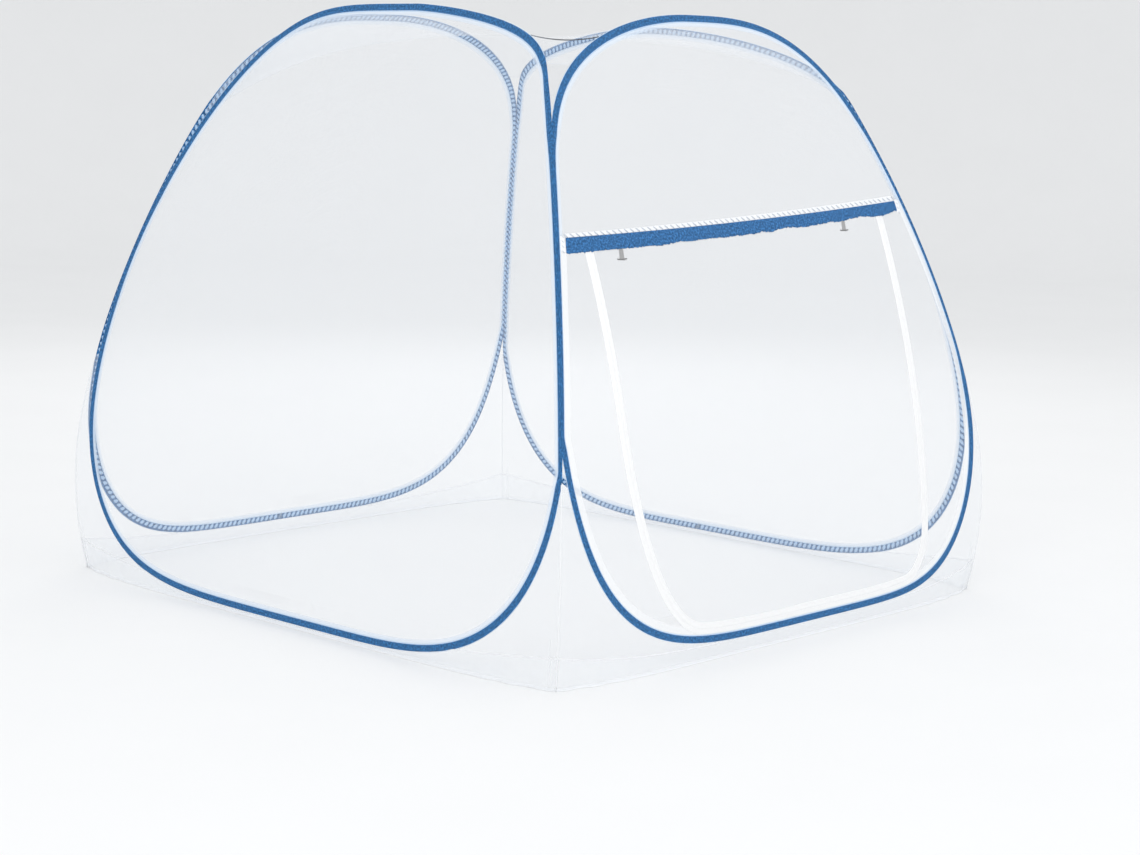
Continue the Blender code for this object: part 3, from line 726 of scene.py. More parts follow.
def binding_material(name, color, selvage, weave, pitch, slant, inner=0.0, outer=0.0):
    """Blue binding cloth; inner and outer are the widths of its pale overcast edges."""
    made, tree, shader = blank_material(name)
    uv = cloth_uv(tree)
    cloth = put(tree, "ShaderNodeGroup", {"node_tree": weave}, Vector=uv, Pitch=pitch, Slant=slant, Fuzz=1.0)
    body = ramp(tree, cloth.outputs["Mottle"],
                [(0.38, shade(color, 0.64)), (0.50, color), (0.62, shade(color, 1.55))])
    lines = math_node(tree, "MULTIPLY_ADD", cloth.outputs["Threads"], 0.34, 0.84)
    result = blend(tree, 1.0, body, lines, "MULTIPLY")
    ragged = grain(tree, uv, 420.0, 3.0)
    for attribute, width in (("edge_gap", inner), ("outer_gap", outer)):
        if not width:
            continue
        gap = math_node(tree, "MULTIPLY_ADD", ragged, -0.0012, edge_distance(tree, attribute))
        mask = smooth_range(tree, gap, width - 0.0011, width - 0.0003)
        result = blend(tree, mask, result, (*selvage, 1))
    feed(tree, shader, Base_Color=result, Roughness=0.88, Specular_IOR_Level=0.15, Sheen_Weight=0.06,
         Sheen_Roughness=0.5)
    height = math_node(tree, "ADD", math_node(tree, "MULTIPLY", cloth.outputs["Threads"], 0.6),
                       math_node(tree, "ADD", cloth.outputs["Fuzz"], cloth.outputs["Mottle"]))
    bump(tree, shader, height, 0.8, 0.0007)
    return made


def net_material(name, color, hem, groups, cover, edge_cover, edge_width):
    """White net: its threads cover part of the view, and more where its edge is turned under."""
    made, tree, shader = blank_material(name)
    threads, turned_edge = groups
    net = put(tree, "ShaderNodeGroup", {"node_tree": threads}, Vector=cloth_uv(tree), Cover=cover)
    edge = put(tree, "ShaderNodeGroup", {"node_tree": turned_edge}, Gap=edge_distance(tree, "edge_gap"),
               Width=edge_width, Cover=edge_cover)
    tone = ramp(tree, net.outputs["Threads"], [(0.0, shade(color, 0.96)), (1.0, color)])
    feed(tree, shader, Alpha=math_node(tree, "MAXIMUM", net.outputs["Cover"], edge.outputs["Cover"]),
         Base_Color=blend(tree, edge.outputs["Mask"], tone, (*hem, 1)), Roughness=0.75,
         Specular_IOR_Level=0.2)
    bump(tree, shader, net.outputs["Threads"], 0.3, 0.0003)
    return made


def tape_material(name, color, weave, pitch, alpha=None):
    """White woven tape."""
    made, tree, shader = blank_material(name)
    cloth = put(tree, "ShaderNodeGroup", {"node_tree": weave}, Vector=cloth_uv(tree), Pitch=pitch,
                Slant=0.0, Fuzz=0.4)
    tone = ramp(tree, cloth.outputs["Mottle"], [(0.3, shade(color, 0.94)), (0.7, color)])
    rough = math_node(tree, "MULTIPLY_ADD", cloth.outputs["Mottle"], 0.15, 0.63)
    feed(tree, shader, Base_Color=tone, Roughness=rough, Specular_IOR_Level=0.3)
    if alpha is not None:
        cover = math_node(tree, "MULTIPLY_ADD", cloth.outputs["Threads"], 0.2, alpha - 0.1)
        feed(tree, shader, Alpha=cover)
    height = math_node(tree, "ADD", cloth.outputs["Threads"], cloth.outputs["Fuzz"])
    bump(tree, shader, height, 0.5, 0.0004)
    return made


def thread_material(name, color, fine_grain, roughness=0.6):
    """Sewing thread or plain plastic, with a fine grain."""
    made, tree, shader = blank_material(name)
    fine = put(tree, "ShaderNodeGroup", {"node_tree": fine_grain}, Vector=on_object(tree)).outputs["Grain"]
    tone = ramp(tree, fine, [(0.3, shade(color, 0.85)), (0.7, shade(color, 1.1))])
    rough = math_node(tree, "MULTIPLY_ADD", fine, 0.2, roughness - 0.1)
    feed(tree, shader, Base_Color=tone, Roughness=rough, Specular_IOR_Level=0.35)
    bump(tree, shader, fine, 0.35, 0.0002)
    return made


def cord_material(name, color, pale):
    """Twisted dark cord, with a painted sheen that makes it paler at one end."""
    made, tree, shader = blank_material(name)
    parts = put(tree, "ShaderNodeSeparateXYZ", None, i0=cloth_uv(tree))
    twist = math_node(tree, "MULTIPLY_ADD", parts.outputs[1], 0.7, parts.outputs[0])
    strands = math_node(tree, "SINE", math_node(tree, "MULTIPLY", twist, math.tau / 0.0022))
    # Painted sheen: the colour runs from pale at the cord's start to its own dark colour 7 cm along
    fade = put(tree, "ShaderNodeMapRange", None, i0=parts.outputs[0], i1=0.0, i2=0.07, i3=1.0, i4=0.0)
    feed(tree, shader, Base_Color=blend(tree, fade.outputs[0], (*color, 1), (*pale, 1)), Roughness=0.8)
    bump(tree, shader, strands, 0.6, 0.0003)
    return made


def floor_material(color):
    made, tree, shader = blank_material("floor_paint")
    tone = ramp(tree, grain(tree, on_object(tree), 2.0, 2.0), [(0.3, shade(color, 0.99)), (0.7, color)])
    feed(tree, shader, Base_Color=tone, Roughness=0.9, Specular_IOR_Level=0.1)
    return made


def materials():
    """Every finish of the tent, made once."""
    if not bpy.context.scene.tent_materials_made:
        colors = bpy.context.scene.tent_colors
        weave, fine_grain = weave_group(), grain_group()
        net_groups = mesh_group(), hem_group()
        blue, felt, toggle = tuple(colors.binding), tuple(colors.valance), tuple(colors.toggle)
        pale, white, hem = tuple(colors.selvage), tuple(colors.net), tuple(colors.hem)
        binding_material("binding_cloth", blue, pale, weave, 0.0021, 0.9, inner=0.0030, outer=0.0012)
        binding_material("valance_felt", felt, felt, weave, 0.0030, 0.3)
        net_material("net_panel", white, hem, net_groups, 0.27, 0.86, 0.0115)
        net_material("net_corner", white, hem, net_groups, 0.27, 0.70, 0.0035)
        net_material("net_roof", white, hem, net_groups, 0.25, 0.60, 0.0035)
        net_material("net_skirt", white, white, net_groups, 0.46, 0.80, 0.009)
        tape_material("door_facing", (0.93, 0.94, 0.95), weave, 0.0018, alpha=0.78)
        tape_material("zip_tape", (0.96, 0.96, 0.96), weave, 0.0012)
        tape_material("heading_tape", (0.93, 0.94, 0.96), weave, 0.0016)
        thread_material("white_thread", (0.90, 0.91, 0.93), fine_grain)
        thread_material("stripe_thread", (0.43, 0.63, 0.88), fine_grain, 0.8)
        thread_material("edge_thread", (0.22, 0.40, 0.68), fine_grain, 0.8)
        thread_material("grey_thread", (0.60, 0.64, 0.70), fine_grain)
        thread_material("zip_teeth", (0.90, 0.90, 0.91), fine_grain, 0.4)
        thread_material("toggle_plastic", toggle, fine_grain, 0.5)
        thread_material("toggle_bar", shade(toggle, 0.55), fine_grain, 0.5)
        # The second colour is the painted sheen at the cord's end by the foot wall's hoop
        cord_material("cord_twist", (0.09, 0.09, 0.10), (0.35, 0.37, 0.40))
        bpy.context.scene.tent_materials_made = True
    return bpy.data.materials


# --- Stitching by Geometry Nodes -------------------------------------------------------------------

def stitch_tree():
    """Threads set along a line: named inputs for pitch, size and slant."""
    tree = bpy.data.node_groups.new("stitch_row", "GeometryNodeTree")
    face = tree.interface
    face.new_socket("Geometry", in_out="INPUT", socket_type="NodeSocketGeometry")
    defaults = {"Pitch": 0.005, "Length": 0.004, "Width": 0.001, "Height": 0.0008, "Slant": 0.0}
    for label, value in defaults.items():
        face.new_socket(label, in_out="INPUT", socket_type="NodeSocketFloat").default_value = value
    face.new_socket("Thread", in_out="INPUT", socket_type="NodeSocketMaterial")
    face.new_socket("Geometry", in_out="OUTPUT", socket_type="NodeSocketGeometry")
    given, out = tree.nodes.new("NodeGroupInput"), tree.nodes.new("NodeGroupOutput")
    line = put(tree, "GeometryNodeMeshToCurve", None, Mesh=given.outputs["Geometry"])
    spaced = put(tree, "GeometryNodeResampleCurve", {"mode": "LENGTH"}, Curve=line.outputs[0],
                 Length=given.outputs["Pitch"])
    normal = put(tree, "GeometryNodeInputNamedAttribute", {"data_type": "FLOAT_VECTOR"}, Name="out")
    tangent = put(tree, "GeometryNodeInputTangent")
    upright = put(tree, "FunctionNodeAlignRotationToVector", {"axis": "Z"}, Vector=normal.outputs[0])
    along = put(tree, "FunctionNodeAlignRotationToVector", {"axis": "X", "pivot_axis": "Z"},
                Rotation=upright.outputs[0], Vector=tangent.outputs[0])
    turn = put(tree, "ShaderNodeCombineXYZ", None, Z=given.outputs["Slant"])
    spin = put(tree, "FunctionNodeEulerToRotation", None, Euler=turn.outputs[0])
    slanted = put(tree, "FunctionNodeRotateRotation", {"rotation_space": "LOCAL"},
                  Rotation=along.outputs[0], Rotate_By=spin.outputs[0])
    half = [math_node(tree, "MULTIPLY", given.outputs[label], 0.5) for label in ("Length", "Width", "Height")]
    size = put(tree, "ShaderNodeCombineXYZ", None, X=half[0], Y=half[1], Z=half[2])
    bead = put(tree, "GeometryNodeMeshIcoSphere", None, Radius=1.0, Subdivisions=1)
    shaded = put(tree, "GeometryNodeSetShadeSmooth", None, Geometry=bead.outputs[0])
    placed = put(tree, "GeometryNodeInstanceOnPoints", None, Points=spaced.outputs[0],
                 Instance=shaded.outputs[0], Rotation=slanted.outputs[0], Scale=size.outputs[0])
    real = put(tree, "GeometryNodeRealizeInstances", None, Geometry=placed.outputs[0])
    colored = put(tree, "GeometryNodeSetMaterial", None, Geometry=real.outputs[0],
                  Material=given.outputs["Thread"])
    tree.links.new(colored.outputs[0], out.inputs[0])
    return tree


def stitches(name, lines, material, slot, pitch, length, width, height, slant=0.0):
    """Rows of thread along lines of (point, outward direction)."""
    tree = bpy.data.node_groups.get("stitch_row") or stitch_tree()
    mesh = bpy.data.meshes.new(name + "_line")
    points, edges, outs = [], [], []
    for line in lines:
        first = len(points)
        for point, out in line:
            points.append(point)
            outs.extend(out)
        edges += [(k, k + 1) for k in range(first, len(points) - 1)]
    mesh.from_pydata(points, edges, [])
    mesh.attributes.new("out", "FLOAT_VECTOR", "POINT").data.foreach_set("vector", outs)
    guide = bpy.data.objects.new(name + "_line", mesh)
    bpy.context.scene.collection.objects.link(guide)
    modifier = guide.modifiers.new("stitches", "NODES")
    modifier.node_group = tree
    values = {"Pitch": pitch, "Length": length, "Width": width, "Height": height, "Slant": slant,
              "Thread": material}
    for item in tree.interface.items_tree:
        if item.in_out == "INPUT" and item.name in values:
            modifier[item.identifier] = values[item.name]
    graph = bpy.context.evaluated_depsgraph_get()
    result = bpy.data.meshes.new_from_object(guide.evaluated_get(graph))
    result.name = name
    bpy.data.objects.remove(guide, do_unlink=True)
    bpy.data.meshes.remove(mesh)
    if not result.polygons:
        raise RuntimeError(name + " has no stitches")
    return finish_piece(name, result, material)


def wall_line(wall, points, out):
    """A line on a wall with its outward directions, for stitches; out moves it off the wall."""
    sign = 1 if out >= 0 else -1
    return [(on_wall(wall, u, z, out), out_of_wall(wall, u, z) * sign) for u, z in points]


# --- Pieces ----------------------------------------------------------------------------------------

def binding_strip(kind, point, wobble):
    """The visible binding at a point of its hoop: how far out its middle is moved, and its half width."""
    free = clamp(off_join(kind, point) / STRIP_FREE_AT)
    lap = broad = 0.0
    if kind == "door":
        broad = smooth_step((-point[0] - 0.35) / 0.4) * smooth_step((0.75 - point[1]) / 0.4)
    half = STRIP_JOINED_HALF + (STRIP_FREE_GAIN + STRIP_LOW_GAIN * broad) * free
    if kind != "door" and point[0] > 0:  # laps over the door wall's binding below the parting
        lap = LAP * math.exp(-(((point[1] - LAP_HEIGHT) / LAP_SPREAD) ** 2)) * (1 - free)
    return lap - STRIP_PULL * (1 - free), half + lap + 0.0003 * wobble


def build_hoops(sizes):
    m = materials()
    for wall, (kind, _) in WALLS.items():
        ring = hoop_ring(kind)
        half_widths, moved = [], []
        for k, point in enumerate(ring):
            wobble = noise.noise(Vector((point[0] * 60, point[1] * 60, len(wall))))
            shift, half = binding_strip(kind, point, wobble)
            half_widths.append(half)
            moved.append((point[0] + math.copysign(shift, point[0]), point[1]))

        def profile(k, a):
            wire = sizes.wire_swell * math.exp(-(((a - 0.5) / 0.32) ** 2)) * (half_widths[k] / BAND_HALF)
            return (CLOTH_LIFT + wire) * rounded(a, 10)

        hidden = [HIDDEN_EDGE * clamp(1.5 - off_join(kind, point) / STRIP_FREE_AT) for point in ring]
        mesh = ribbon("hoop_" + wall, wall, moved, half_widths, profile, closed=True, hidden=hidden)
        finish_piece("hoop_" + wall, mesh, m["binding_cloth"], ["binding_" + wall])
        inner = hoop_line(kind, -1, -0.0018)
        stitches("hoop_stitches_" + wall, [wall_line(wall, inner + inner[:1], 0.0011)],
                 m["edge_thread"], "binding_blue", *EDGE_STITCH)
        middle = ring + ring[:1]
        stitches("hoop_inside_stitches_" + wall, [wall_line(wall, middle, -0.0016)],
                 m["stripe_thread"], "binding_blue", *STRIPE_STITCH)


def build_panels():
    m = materials()
    for wall in ("foot", "head", "rear"):
        mesh, flat, area = drape("panel_" + wall, panel_pattern(WALLS[wall][0]), wall, slack=0.004)
        piece = finish_piece("panel_" + wall, mesh, m["net_panel"], ["net_" + wall])


def panel_pattern(kind):
    """All the net inside a hoop, laid flat."""
    lines = [halves(hoop_line(kind, -1, past)) for past in NET_LINES]
    rows, gaps = [], []
    shares = (0.08, 0.2, 0.35, 0.5, 0.65, 0.8, 0.92)
    for i in range(SEGMENTS + 1):
        near = [line[0][i] for line in lines]
        far = [line[1][i] for line in lines]
        inside = [mix(near[-1], far[-1], s) for s in shares]
        rows.append(near + inside + far[::-1])
        depth = [NET_LINES[-1] + 0.1 * min(1, 4 * min(s, 1 - s)) for s in shares]
        gaps.append([*NET_LINES, *depth, *NET_LINES[::-1]])
    return flat_pattern(rows, gaps)


def build_door(sizes):
    m = materials()
    upper = trim_at_seam(panel_pattern("door"), keep_above=True)
    mesh, flat, area = drape("door_top_net", upper, "door", slack=0.003)
    piece = finish_piece("door_top_net", mesh, m["net_panel"], ["door_upper_net"])
    build_edging(m)
    path = door_zip_path()
    build_leaf(m, path, build_zip(m, sizes, path))
    build_side_nets(m, path)


def build_edging(m):
    """The door's edging, sewn round inside the hoop from seam to seam."""
    offsets = (-0.002, 0.003, 0.009, 0.015, FACING_WIDTH)
    rings = [hoop_line("door", -1, past) for past in offsets]
    # Begins at the top of the hoop, so that the cut at the seam leaves one strip
    order = [*range(SEGMENTS, 2 * SEGMENTS), *range(SEGMENTS + 1)]
    strip = flat_pattern([[ring[k] for ring in rings] for k in order])
    strip = trim_at_seam(strip, keep_above=False)
    mesh, flat, area = drape("door_edging", strip, "door")
    piece = finish_piece("door_edging", mesh, m["door_facing"], ["door_facing"])


def build_zip(m, sizes, path):
    """The zip's tape, its teeth and its two rows of stitches."""
    def profile(k, a):
        chain = 0.0008 * math.exp(-((a / 0.14) ** 2))
        return (0.0007 + chain) * rounded(a, 16)

    tape_path = resample(path, 240)
    mesh = ribbon("zip_strip", "door", tape_path, [ZIP_HALF] * len(tape_path), profile)
    tape = finish_piece("zip_strip", mesh, m["zip_tape"], ["zip_tape"])
    teeth = stitches("zip_teeth", [wall_line("door", tape_path, 0.0012)], m["zip_teeth"], "zip_white",
                     sizes.zip_pitch, *ZIP_TOOTH)
    rims = [wall_line("door", beside(tape_path, d), 0.0006) for d in (-0.0115, 0.0115)]
    edges = stitches("zip_stitches", rims, m["white_thread"], "zip_white", *ZIP_STITCH)
    return [tape, teeth, edges]


def build_leaf(m, path, zip_pieces):
    """The door's own net, inside the zip."""
    edge = beside(path, -(ZIP_HALF - UNDER_ZIP))
    middle = len(edge) // 2
    left, right = edge[:middle + 1][::-1], edge[middle:]
    left[-1], right[-1] = ((p[0], seam_height(-p[0])) for p in (left[-1], right[-1]))
    left, right = resample(left, 60), resample(right, 60)
    shares = (0, 0.03, 0.12, 0.25, 0.4, 0.5, 0.6, 0.75, 0.88, 0.97, 1.0)
    rows = [[mix(a, b, s) for s in shares] for a, b in zip(left, right)]
    gaps = [[0.1 * min(1, 4 * min(s, 1 - s)) + 0.02 for s in shares]] * len(rows)
    leaf = trim_at_seam(flat_pattern(rows, gaps), keep_above=False)
    mesh, flat, area = drape("door_leaf_net", leaf, "door", slack=0.006)
    piece = finish_piece("door_leaf_net", mesh, m["net_panel"], ["door_leaf"])


def build_side_nets(m, path):
    """The two nets between the zip's upright runs and the edging."""
    outer = beside(path, ZIP_HALF - UNDER_ZIP)
    facing = halves(hoop_line("door", -1, FACING_WIDTH - 0.001))
    for name, sign, line in (("door_side_net_left", 1, outer), ("door_side_net_right", -1, outer[::-1])):
        rim = facing[0] if sign > 0 else facing[1]
        rows = []
        for u, z in resample(line[:len(line) // 2], 70):
            if z < 0.13:
                break
            z = min(z, seam_height(-u))
            far_side = along_at(rim, z)[0]
            if sign * (far_side - u) < 0.0015:
                break
            rows.append([(far_side + (u - far_side) * s, z) for s in (0, 0.15, 0.4, 0.6, 0.85, 1.0)])
        gaps = [[0.02, 0.05, 0.08, 0.08, 0.05, 0.02]] * len(rows)
        mesh, flat, area = drape(name + "_cloth", flat_pattern(rows, gaps), "door", slack=0.004)
        piece = finish_piece(name + "_cloth", mesh, m["net_panel"], [name])


def hem_drop(x):
    """How far the valance's raw edge hangs below the seam at x."""
    start, end = VALANCE_ENDS
    share = (x - start) / (end - start)
    wavy = smooth_step((share - 0.12) / 0.12)
    swing = noise.noise(Vector((x * 9.5, 4.0, 0))) + 0.6 * noise.noise(Vector((x * 27, 1.0, 0)))
    tufts = 0.0026 * noise.noise(Vector((x * 110, 2.0, 0))) + 0.0024 * noise.noise(Vector((x * 230, 5.0, 0)))
    return 0.0372 - 0.0075 * share + 0.0075 * wavy * swing + tufts


def valance_cloth(sizes):
    """The blue strip with its ragged hem, as one closed mesh."""
    start, end = VALANCE_ENDS
    columns = 900
    depth_shares = (0.0, 0.04, 0.2, 0.4, 0.6, 0.8, 0.94, 1.0)
    loop = [(d, 1) for d in depth_shares] + [(d, -1) for d in depth_shares[-2::-1]]
    rows, uvs = [], []
    for k in range(columns + 1):
        x = start + (end - start) * k / columns
        top, drop = seam_height(x), hem_drop(x)
        end_round = min(1.0, k / 1.5, (columns - k) / 1.5) ** 0.5
        row, uv = [], []
        for d, face in loop:
            z = top - drop * d
            body = sizes.valance_thickness / 2 * rounded(2 * d - 1, 12)
            body *= 1 + 0.35 * noise.noise(Vector((x * 130, z * 130, face)))
            ripple = 0.0014 * d * math.sin(21 * x + 0.6)
            hang = VALANCE_SWING * d * (1 - smooth_step((x - start) / 0.05))
            row.append(on_wall("door", -x + hang, z, 0.0016 + ripple + face * body * end_round))
            uv.append((x, z + (0.1 if face < 0 else 0)))
        rows.append(row)
        uvs.append(uv)
    return surface("valance_strip", rows, uvs, closed_solid=True)[0]


def build_valance(sizes):
    m = materials()
    start, end = VALANCE_ENDS
    strip = finish_piece("valance_strip", valance_cloth(sizes), m["valance_felt"],
                         ["valance"])

    xs = [start + 0.002 + (end - start - 0.004) * k / 120 for k in range(121)]
    tape_half = [0.0052 + 0.0026 * k / 120 for k in range(121)]
    path = [(-x, seam_height(x) + half - 0.0006) for x, half in zip(xs, tape_half)]
    mesh = ribbon("heading_tape", "door", path, tape_half, lambda k, a: TAPE_LIFT * rounded(a, 8))
    tape = finish_piece("heading_tape", mesh, m["heading_tape"], ["valance_tape"])
    hatch = stitches("heading_stitches", [wall_line("door", path, 0.0012)], m["grey_thread"], "facing_white",
                     sizes.hatch_pitch, *HATCH_STITCH, sizes.hatch_slant)
    ends = []
    for x, swing in ((start - 0.0095, VALANCE_SWING), (end + 0.011, 0.0)):
        ends.append([(-x + swing * k / 12, seam_height(x) + 0.004 - 0.036 * k / 12) for k in range(13)])
    for side, line in zip(("left", "right"), ends):
        mesh = ribbon("valance_tab_" + side, "door", line, [0.0075] * len(line),
                      lambda k, a: TAPE_LIFT * rounded(a, 8))
        finish_piece("valance_tab_" + side, mesh, m["heading_tape"])
    tabs = stitches("valance_tab_stitches", [wall_line("door", line, 0.0012) for line in ends],
                    m["grey_thread"], "facing_white", *TAB_STITCH)


def build_toggles(sizes):
    m = materials()
    for name, x in TOGGLES.items():
        top = seam_height(x) - hem_drop(x) + 0.004
        length = sizes.toggle_length
        path = [(-x + 0.006 * k / 10, top - length * k / 10) for k in range(11)]
        widths = [0.0068 + 0.0018 * k / 10 for k in range(11)]
        mesh = ribbon(name + "_strap", "door", path, widths, lambda k, a: 0.0012 * rounded(a, 4))
        for vert in mesh.vertices:
            vert.co.y -= 0.0004
        finish_piece(name + "_strap", mesh, m["toggle_plastic"], [name])
        low = top - length + 0.0010
        points = [on_wall("door", -(x - 0.006 + 0.0165 * s), low + 0.0012 * abs(s) ** 2, 0.0010)
                  for s in (-1, -0.97, -0.9, -0.7, -0.4, 0, 0.4, 0.7, 0.9, 0.97, 1)]
        bar = tube(name + "_bar", points, sizes.toggle_bar, 12)
        finish_piece(name + "_bar", bar, m["toggle_bar"])


def sewn_hoops(wall, side):
    """The two hoops sewn together at this end of a wall."""
    if wall in ("foot", "head"):
        return wall, "door"
    return ("foot" if (wall == "door") == (side == "near") else "head"), "door"


def roof_edge():
    """The closed line where the roof is sewn to the four hoops."""
    edge = []
    for wall in ("foot", "rear", "head", "door"):
        kind = WALLS[wall][0]
        parts = []
        for side, points in zip(("near", "far"), halves(hoop_line(kind, 1, SEAM_UNDER))):
            low = max(parting_height(each, side, "top") for each in sewn_hoops(wall, side))
            parts.append([along_at(points, low)] + [p for p in points if p[1] > low + 0.002])
        first, second = parts[::-1] if kind == "door" else parts
        edge += [on_wall(wall, u, z, -0.0020) for u, z in first + second[-2::-1]]
    return edge + edge[:1]


def build_roof():
    m = materials()
    edge = roof_edge()
    rings = 26
    rows, uvs, gaps = [], [], []
    for k in range(rings + 1):
        share = (k / rings) ** 0.7
        row = []
        for p in edge:
            point = Vector((p.x * share, p.y * share, ROOF_CROWN + (p.z - ROOF_CROWN) * share ** ROOF_POWER))
            point.z += ease(point, 0.006) * min(1, (1 - share) / 0.1)
            row.append(point)
        rows.append(row)
        uvs.append([(p.x, p.y) for p in row])
        gaps.append([(1 - share) * 0.9] * len(row))
    mesh, area = surface("roof_cloth", rows, uvs, gaps)
    piece = finish_piece("roof_cloth", mesh, m["net_roof"], ["net_roof"])


def corner_lines(kind, side, top):
    """A corner net's edge on its hoop, and its edge along the skirt and up the crease, from the bottom."""
    sign = 1 if side == "near" else -1
    ring = halves(hoop_line(kind, 1, SEAM_UNDER))[0 if side == "near" else 1]
    start = 0.2
    while height_on(low_edge(kind), sign * start) - skirt_top(kind, sign * start) < 0.004:
        start += 0.01
    line = [p for p in ring if sign * p[0] > start and p[1] < top] + [along_at(ring, top)]
    hoop = resample([(sign * start, height_on(low_edge(kind), sign * start))] + line, 60)
    full = reach(kind, SKIRT_CORNER)
    seam = [(sign * (start + (full - start) * k / 28), 0) for k in range(28)]
    seam = [(u, skirt_top(kind, u)) for u, _ in seam]
    crease = [SKIRT_CORNER + (top - SKIRT_CORNER) * k / 32 for k in range(33)]
    return hoop, seam + [(sign * reach(kind, z), z) for z in crease]


def corner_block(kind, side, half_turns, top):
    """The part of a corner net on one wall: rows of points, their UVs, and metres to the hoop."""
    hoop, rim = corner_lines(kind, side, top)
    wall = "rear" if kind == "door" and half_turns != (side == "far") else kind
    shares = (0.0, 0.06, 0.07, 0.2, 0.35, 0.5, 0.65, 0.8, 0.92, 1.0)
    rows, uvs, gaps = [], [], []
    for a, b in zip(hoop, rim):
        places = [mix(a, b, s) for s in shares]
        rows.append([on_wall(wall, u, z, fold_lift(u, z, kind) * min(1, 8 * s * (1 - s)))
                     for s, (u, z) in zip(shares, places)])
        uvs.append(places)
        gaps.append([min(math.dist(a, b) * s, FAR_FROM_EDGE) for s in shares])
    return rows, uvs, gaps


def seam_piece(name, points, radius):
    """A seam, as a round thread along points."""
    return finish_piece(name, tube(name, points, radius, 8), materials()["white_thread"])


def build_corners():
    m = materials()
    for name, (side, half_turns) in CORNERS.items():
        kinds = ("head" if half_turns else "foot"), "door"
        top = min(parting_height(each, side, "bottom") for each in kinds)
        blocks = [corner_block(kind, side, half_turns, top) for kind in kinds]
        mesh, area = surface(name + "_cloth", *blocks[0], extra=blocks[1])
        piece = finish_piece(name + "_cloth", mesh, m["net_corner"], [name])
        points = [corner_point(side, half_turns, top * (1 - k / 40), 0.0010) for k in range(41)]
        middle = points[len(points) // 2]
        out = Vector((middle.x, middle.y, 0)).normalized()
        seam_piece(name + "_seam", points, 0.0013)
        wall = kinds[0]
        sign = 1 if side == "near" else -1
        fold_heights = [FOLD_TOP * (1 - k / 16) for k in range(17)]
        fold = [(sign * (reach(wall, z) - FOLD_IN + 0.004 * (1 - z / FOLD_TOP)), z) for z in fold_heights]
        seam_piece(name + "_fold", [on_wall(wall, u, z, 0.0012) for u, z in fold], 0.0010)
        lines = [[(p + out * 0.0006, out) for p in points], wall_line(wall, fold, 0.0016)]
        stitches(name + "_stitches", lines, m["white_thread"], "net_white", *CORNER_STITCH)


def fold_lift(u, z, kind):
    """Soft folds where a corner net is drawn in."""
    low = max(0.0, 1 - z / 0.6)
    near = smooth_step((abs(u) / reach(kind, z) - 0.55) / 0.35)
    return 0.0045 * low * near * math.sin(34 * (abs(u) + 0.35 * z)) + ease(Vector((u, z, 3)), 0.003)


def skirt_row(wall, share, at_corner):
    """An upright row of the skirt, at a share of the way from the wall's middle to its end."""
    kind, half_turns = WALLS[wall]
    edge = skirt_top(kind, share * reach(kind, SKIRT_CORNER))
    row = []
    for level in (0.0, 0.05, 0.1, 0.3, 0.5, 0.7, 0.9, 1.0):
        z = edge * level
        if at_corner:
            point = corner_point("near" if kind == "door" else "far", half_turns, z)
        else:
            u = share * reach(kind, z)
            fold = 0.004 * (1 - 0.5 * level) * math.sin(70 * u)
            fold *= smooth_step((abs(share) - 0.6) / 0.3)
            point = on_wall(wall, u, z, fold * smooth_step((1 - abs(share)) / 0.02))
        point.z = z
        row.append(point)
    return row


def build_skirt():
    m = materials()
    rows, uvs, gaps = [], [], []
    columns = 90
    travelled = 0.0
    for wall in ("foot", "door", "head", "rear"):
        kind = WALLS[wall][0]
        direction = -1 if kind == "door" else 1
        for k in range(columns):
            share = direction * (-1 + 2 * k / columns)
            row = skirt_row(wall, share, at_corner=k == 0)
            place = travelled + share * direction * reach(kind, 0)
            rows.append(row)
            uvs.append([(place, point.z) for point in row])
            gaps.append([point.z for point in row])
        travelled += 2 * reach(kind, 0)
    rows.append(rows[0])
    uvs.append([(travelled - reach("foot", 0), z) for _, z in uvs[0]])
    gaps.append(gaps[0])
    mesh, area = surface("skirt_cloth", rows, uvs, gaps)
    piece = finish_piece("skirt_cloth", mesh, m["net_skirt"], ["skirt"])
    seam = [row[-1] for row in rows]
    hem = [row[0] + Vector((0, 0, 0.0011)) for row in rows]
    seam_tube = seam_piece("skirt_seam", seam, 0.0013)
    hem_tube = seam_piece("skirt_hem", hem, 0.0011)
    outward = [Vector((p.x, p.y, 0)).normalized() for p in seam]
    lines = [[(p + n * 0.0004, n) for p, n in zip(seam, outward)],
             [(p + n * 0.0004 + Vector((0, 0, 0.008)), n) for p, n in zip(hem, outward)]]
    rows_of_thread = stitches("skirt_stitches", lines, m["white_thread"], "net_white", *SKIRT_STITCH)


def build_cord():
    m = materials()
    clear = CORD_RADIUS + 0.0003
    start, end = (on_wall(wall, *along_at(halves(hoop_line(wall, 1, clear))[0], CORD_HEIGHT))
                  for wall in ("foot", "door"))
    points = []
    for k in range(25):
        s = k / 24
        p = start.lerp(end, s)
        points.append(Vector((p.x, p.y, p.z - 4 * CORD_SAG * s * (1 - s))))
    piece = finish_piece("corner_cord_twist", tube("corner_cord_twist", points, CORD_RADIUS, 10),
                         m["cord_twist"], ["corner_cord"])


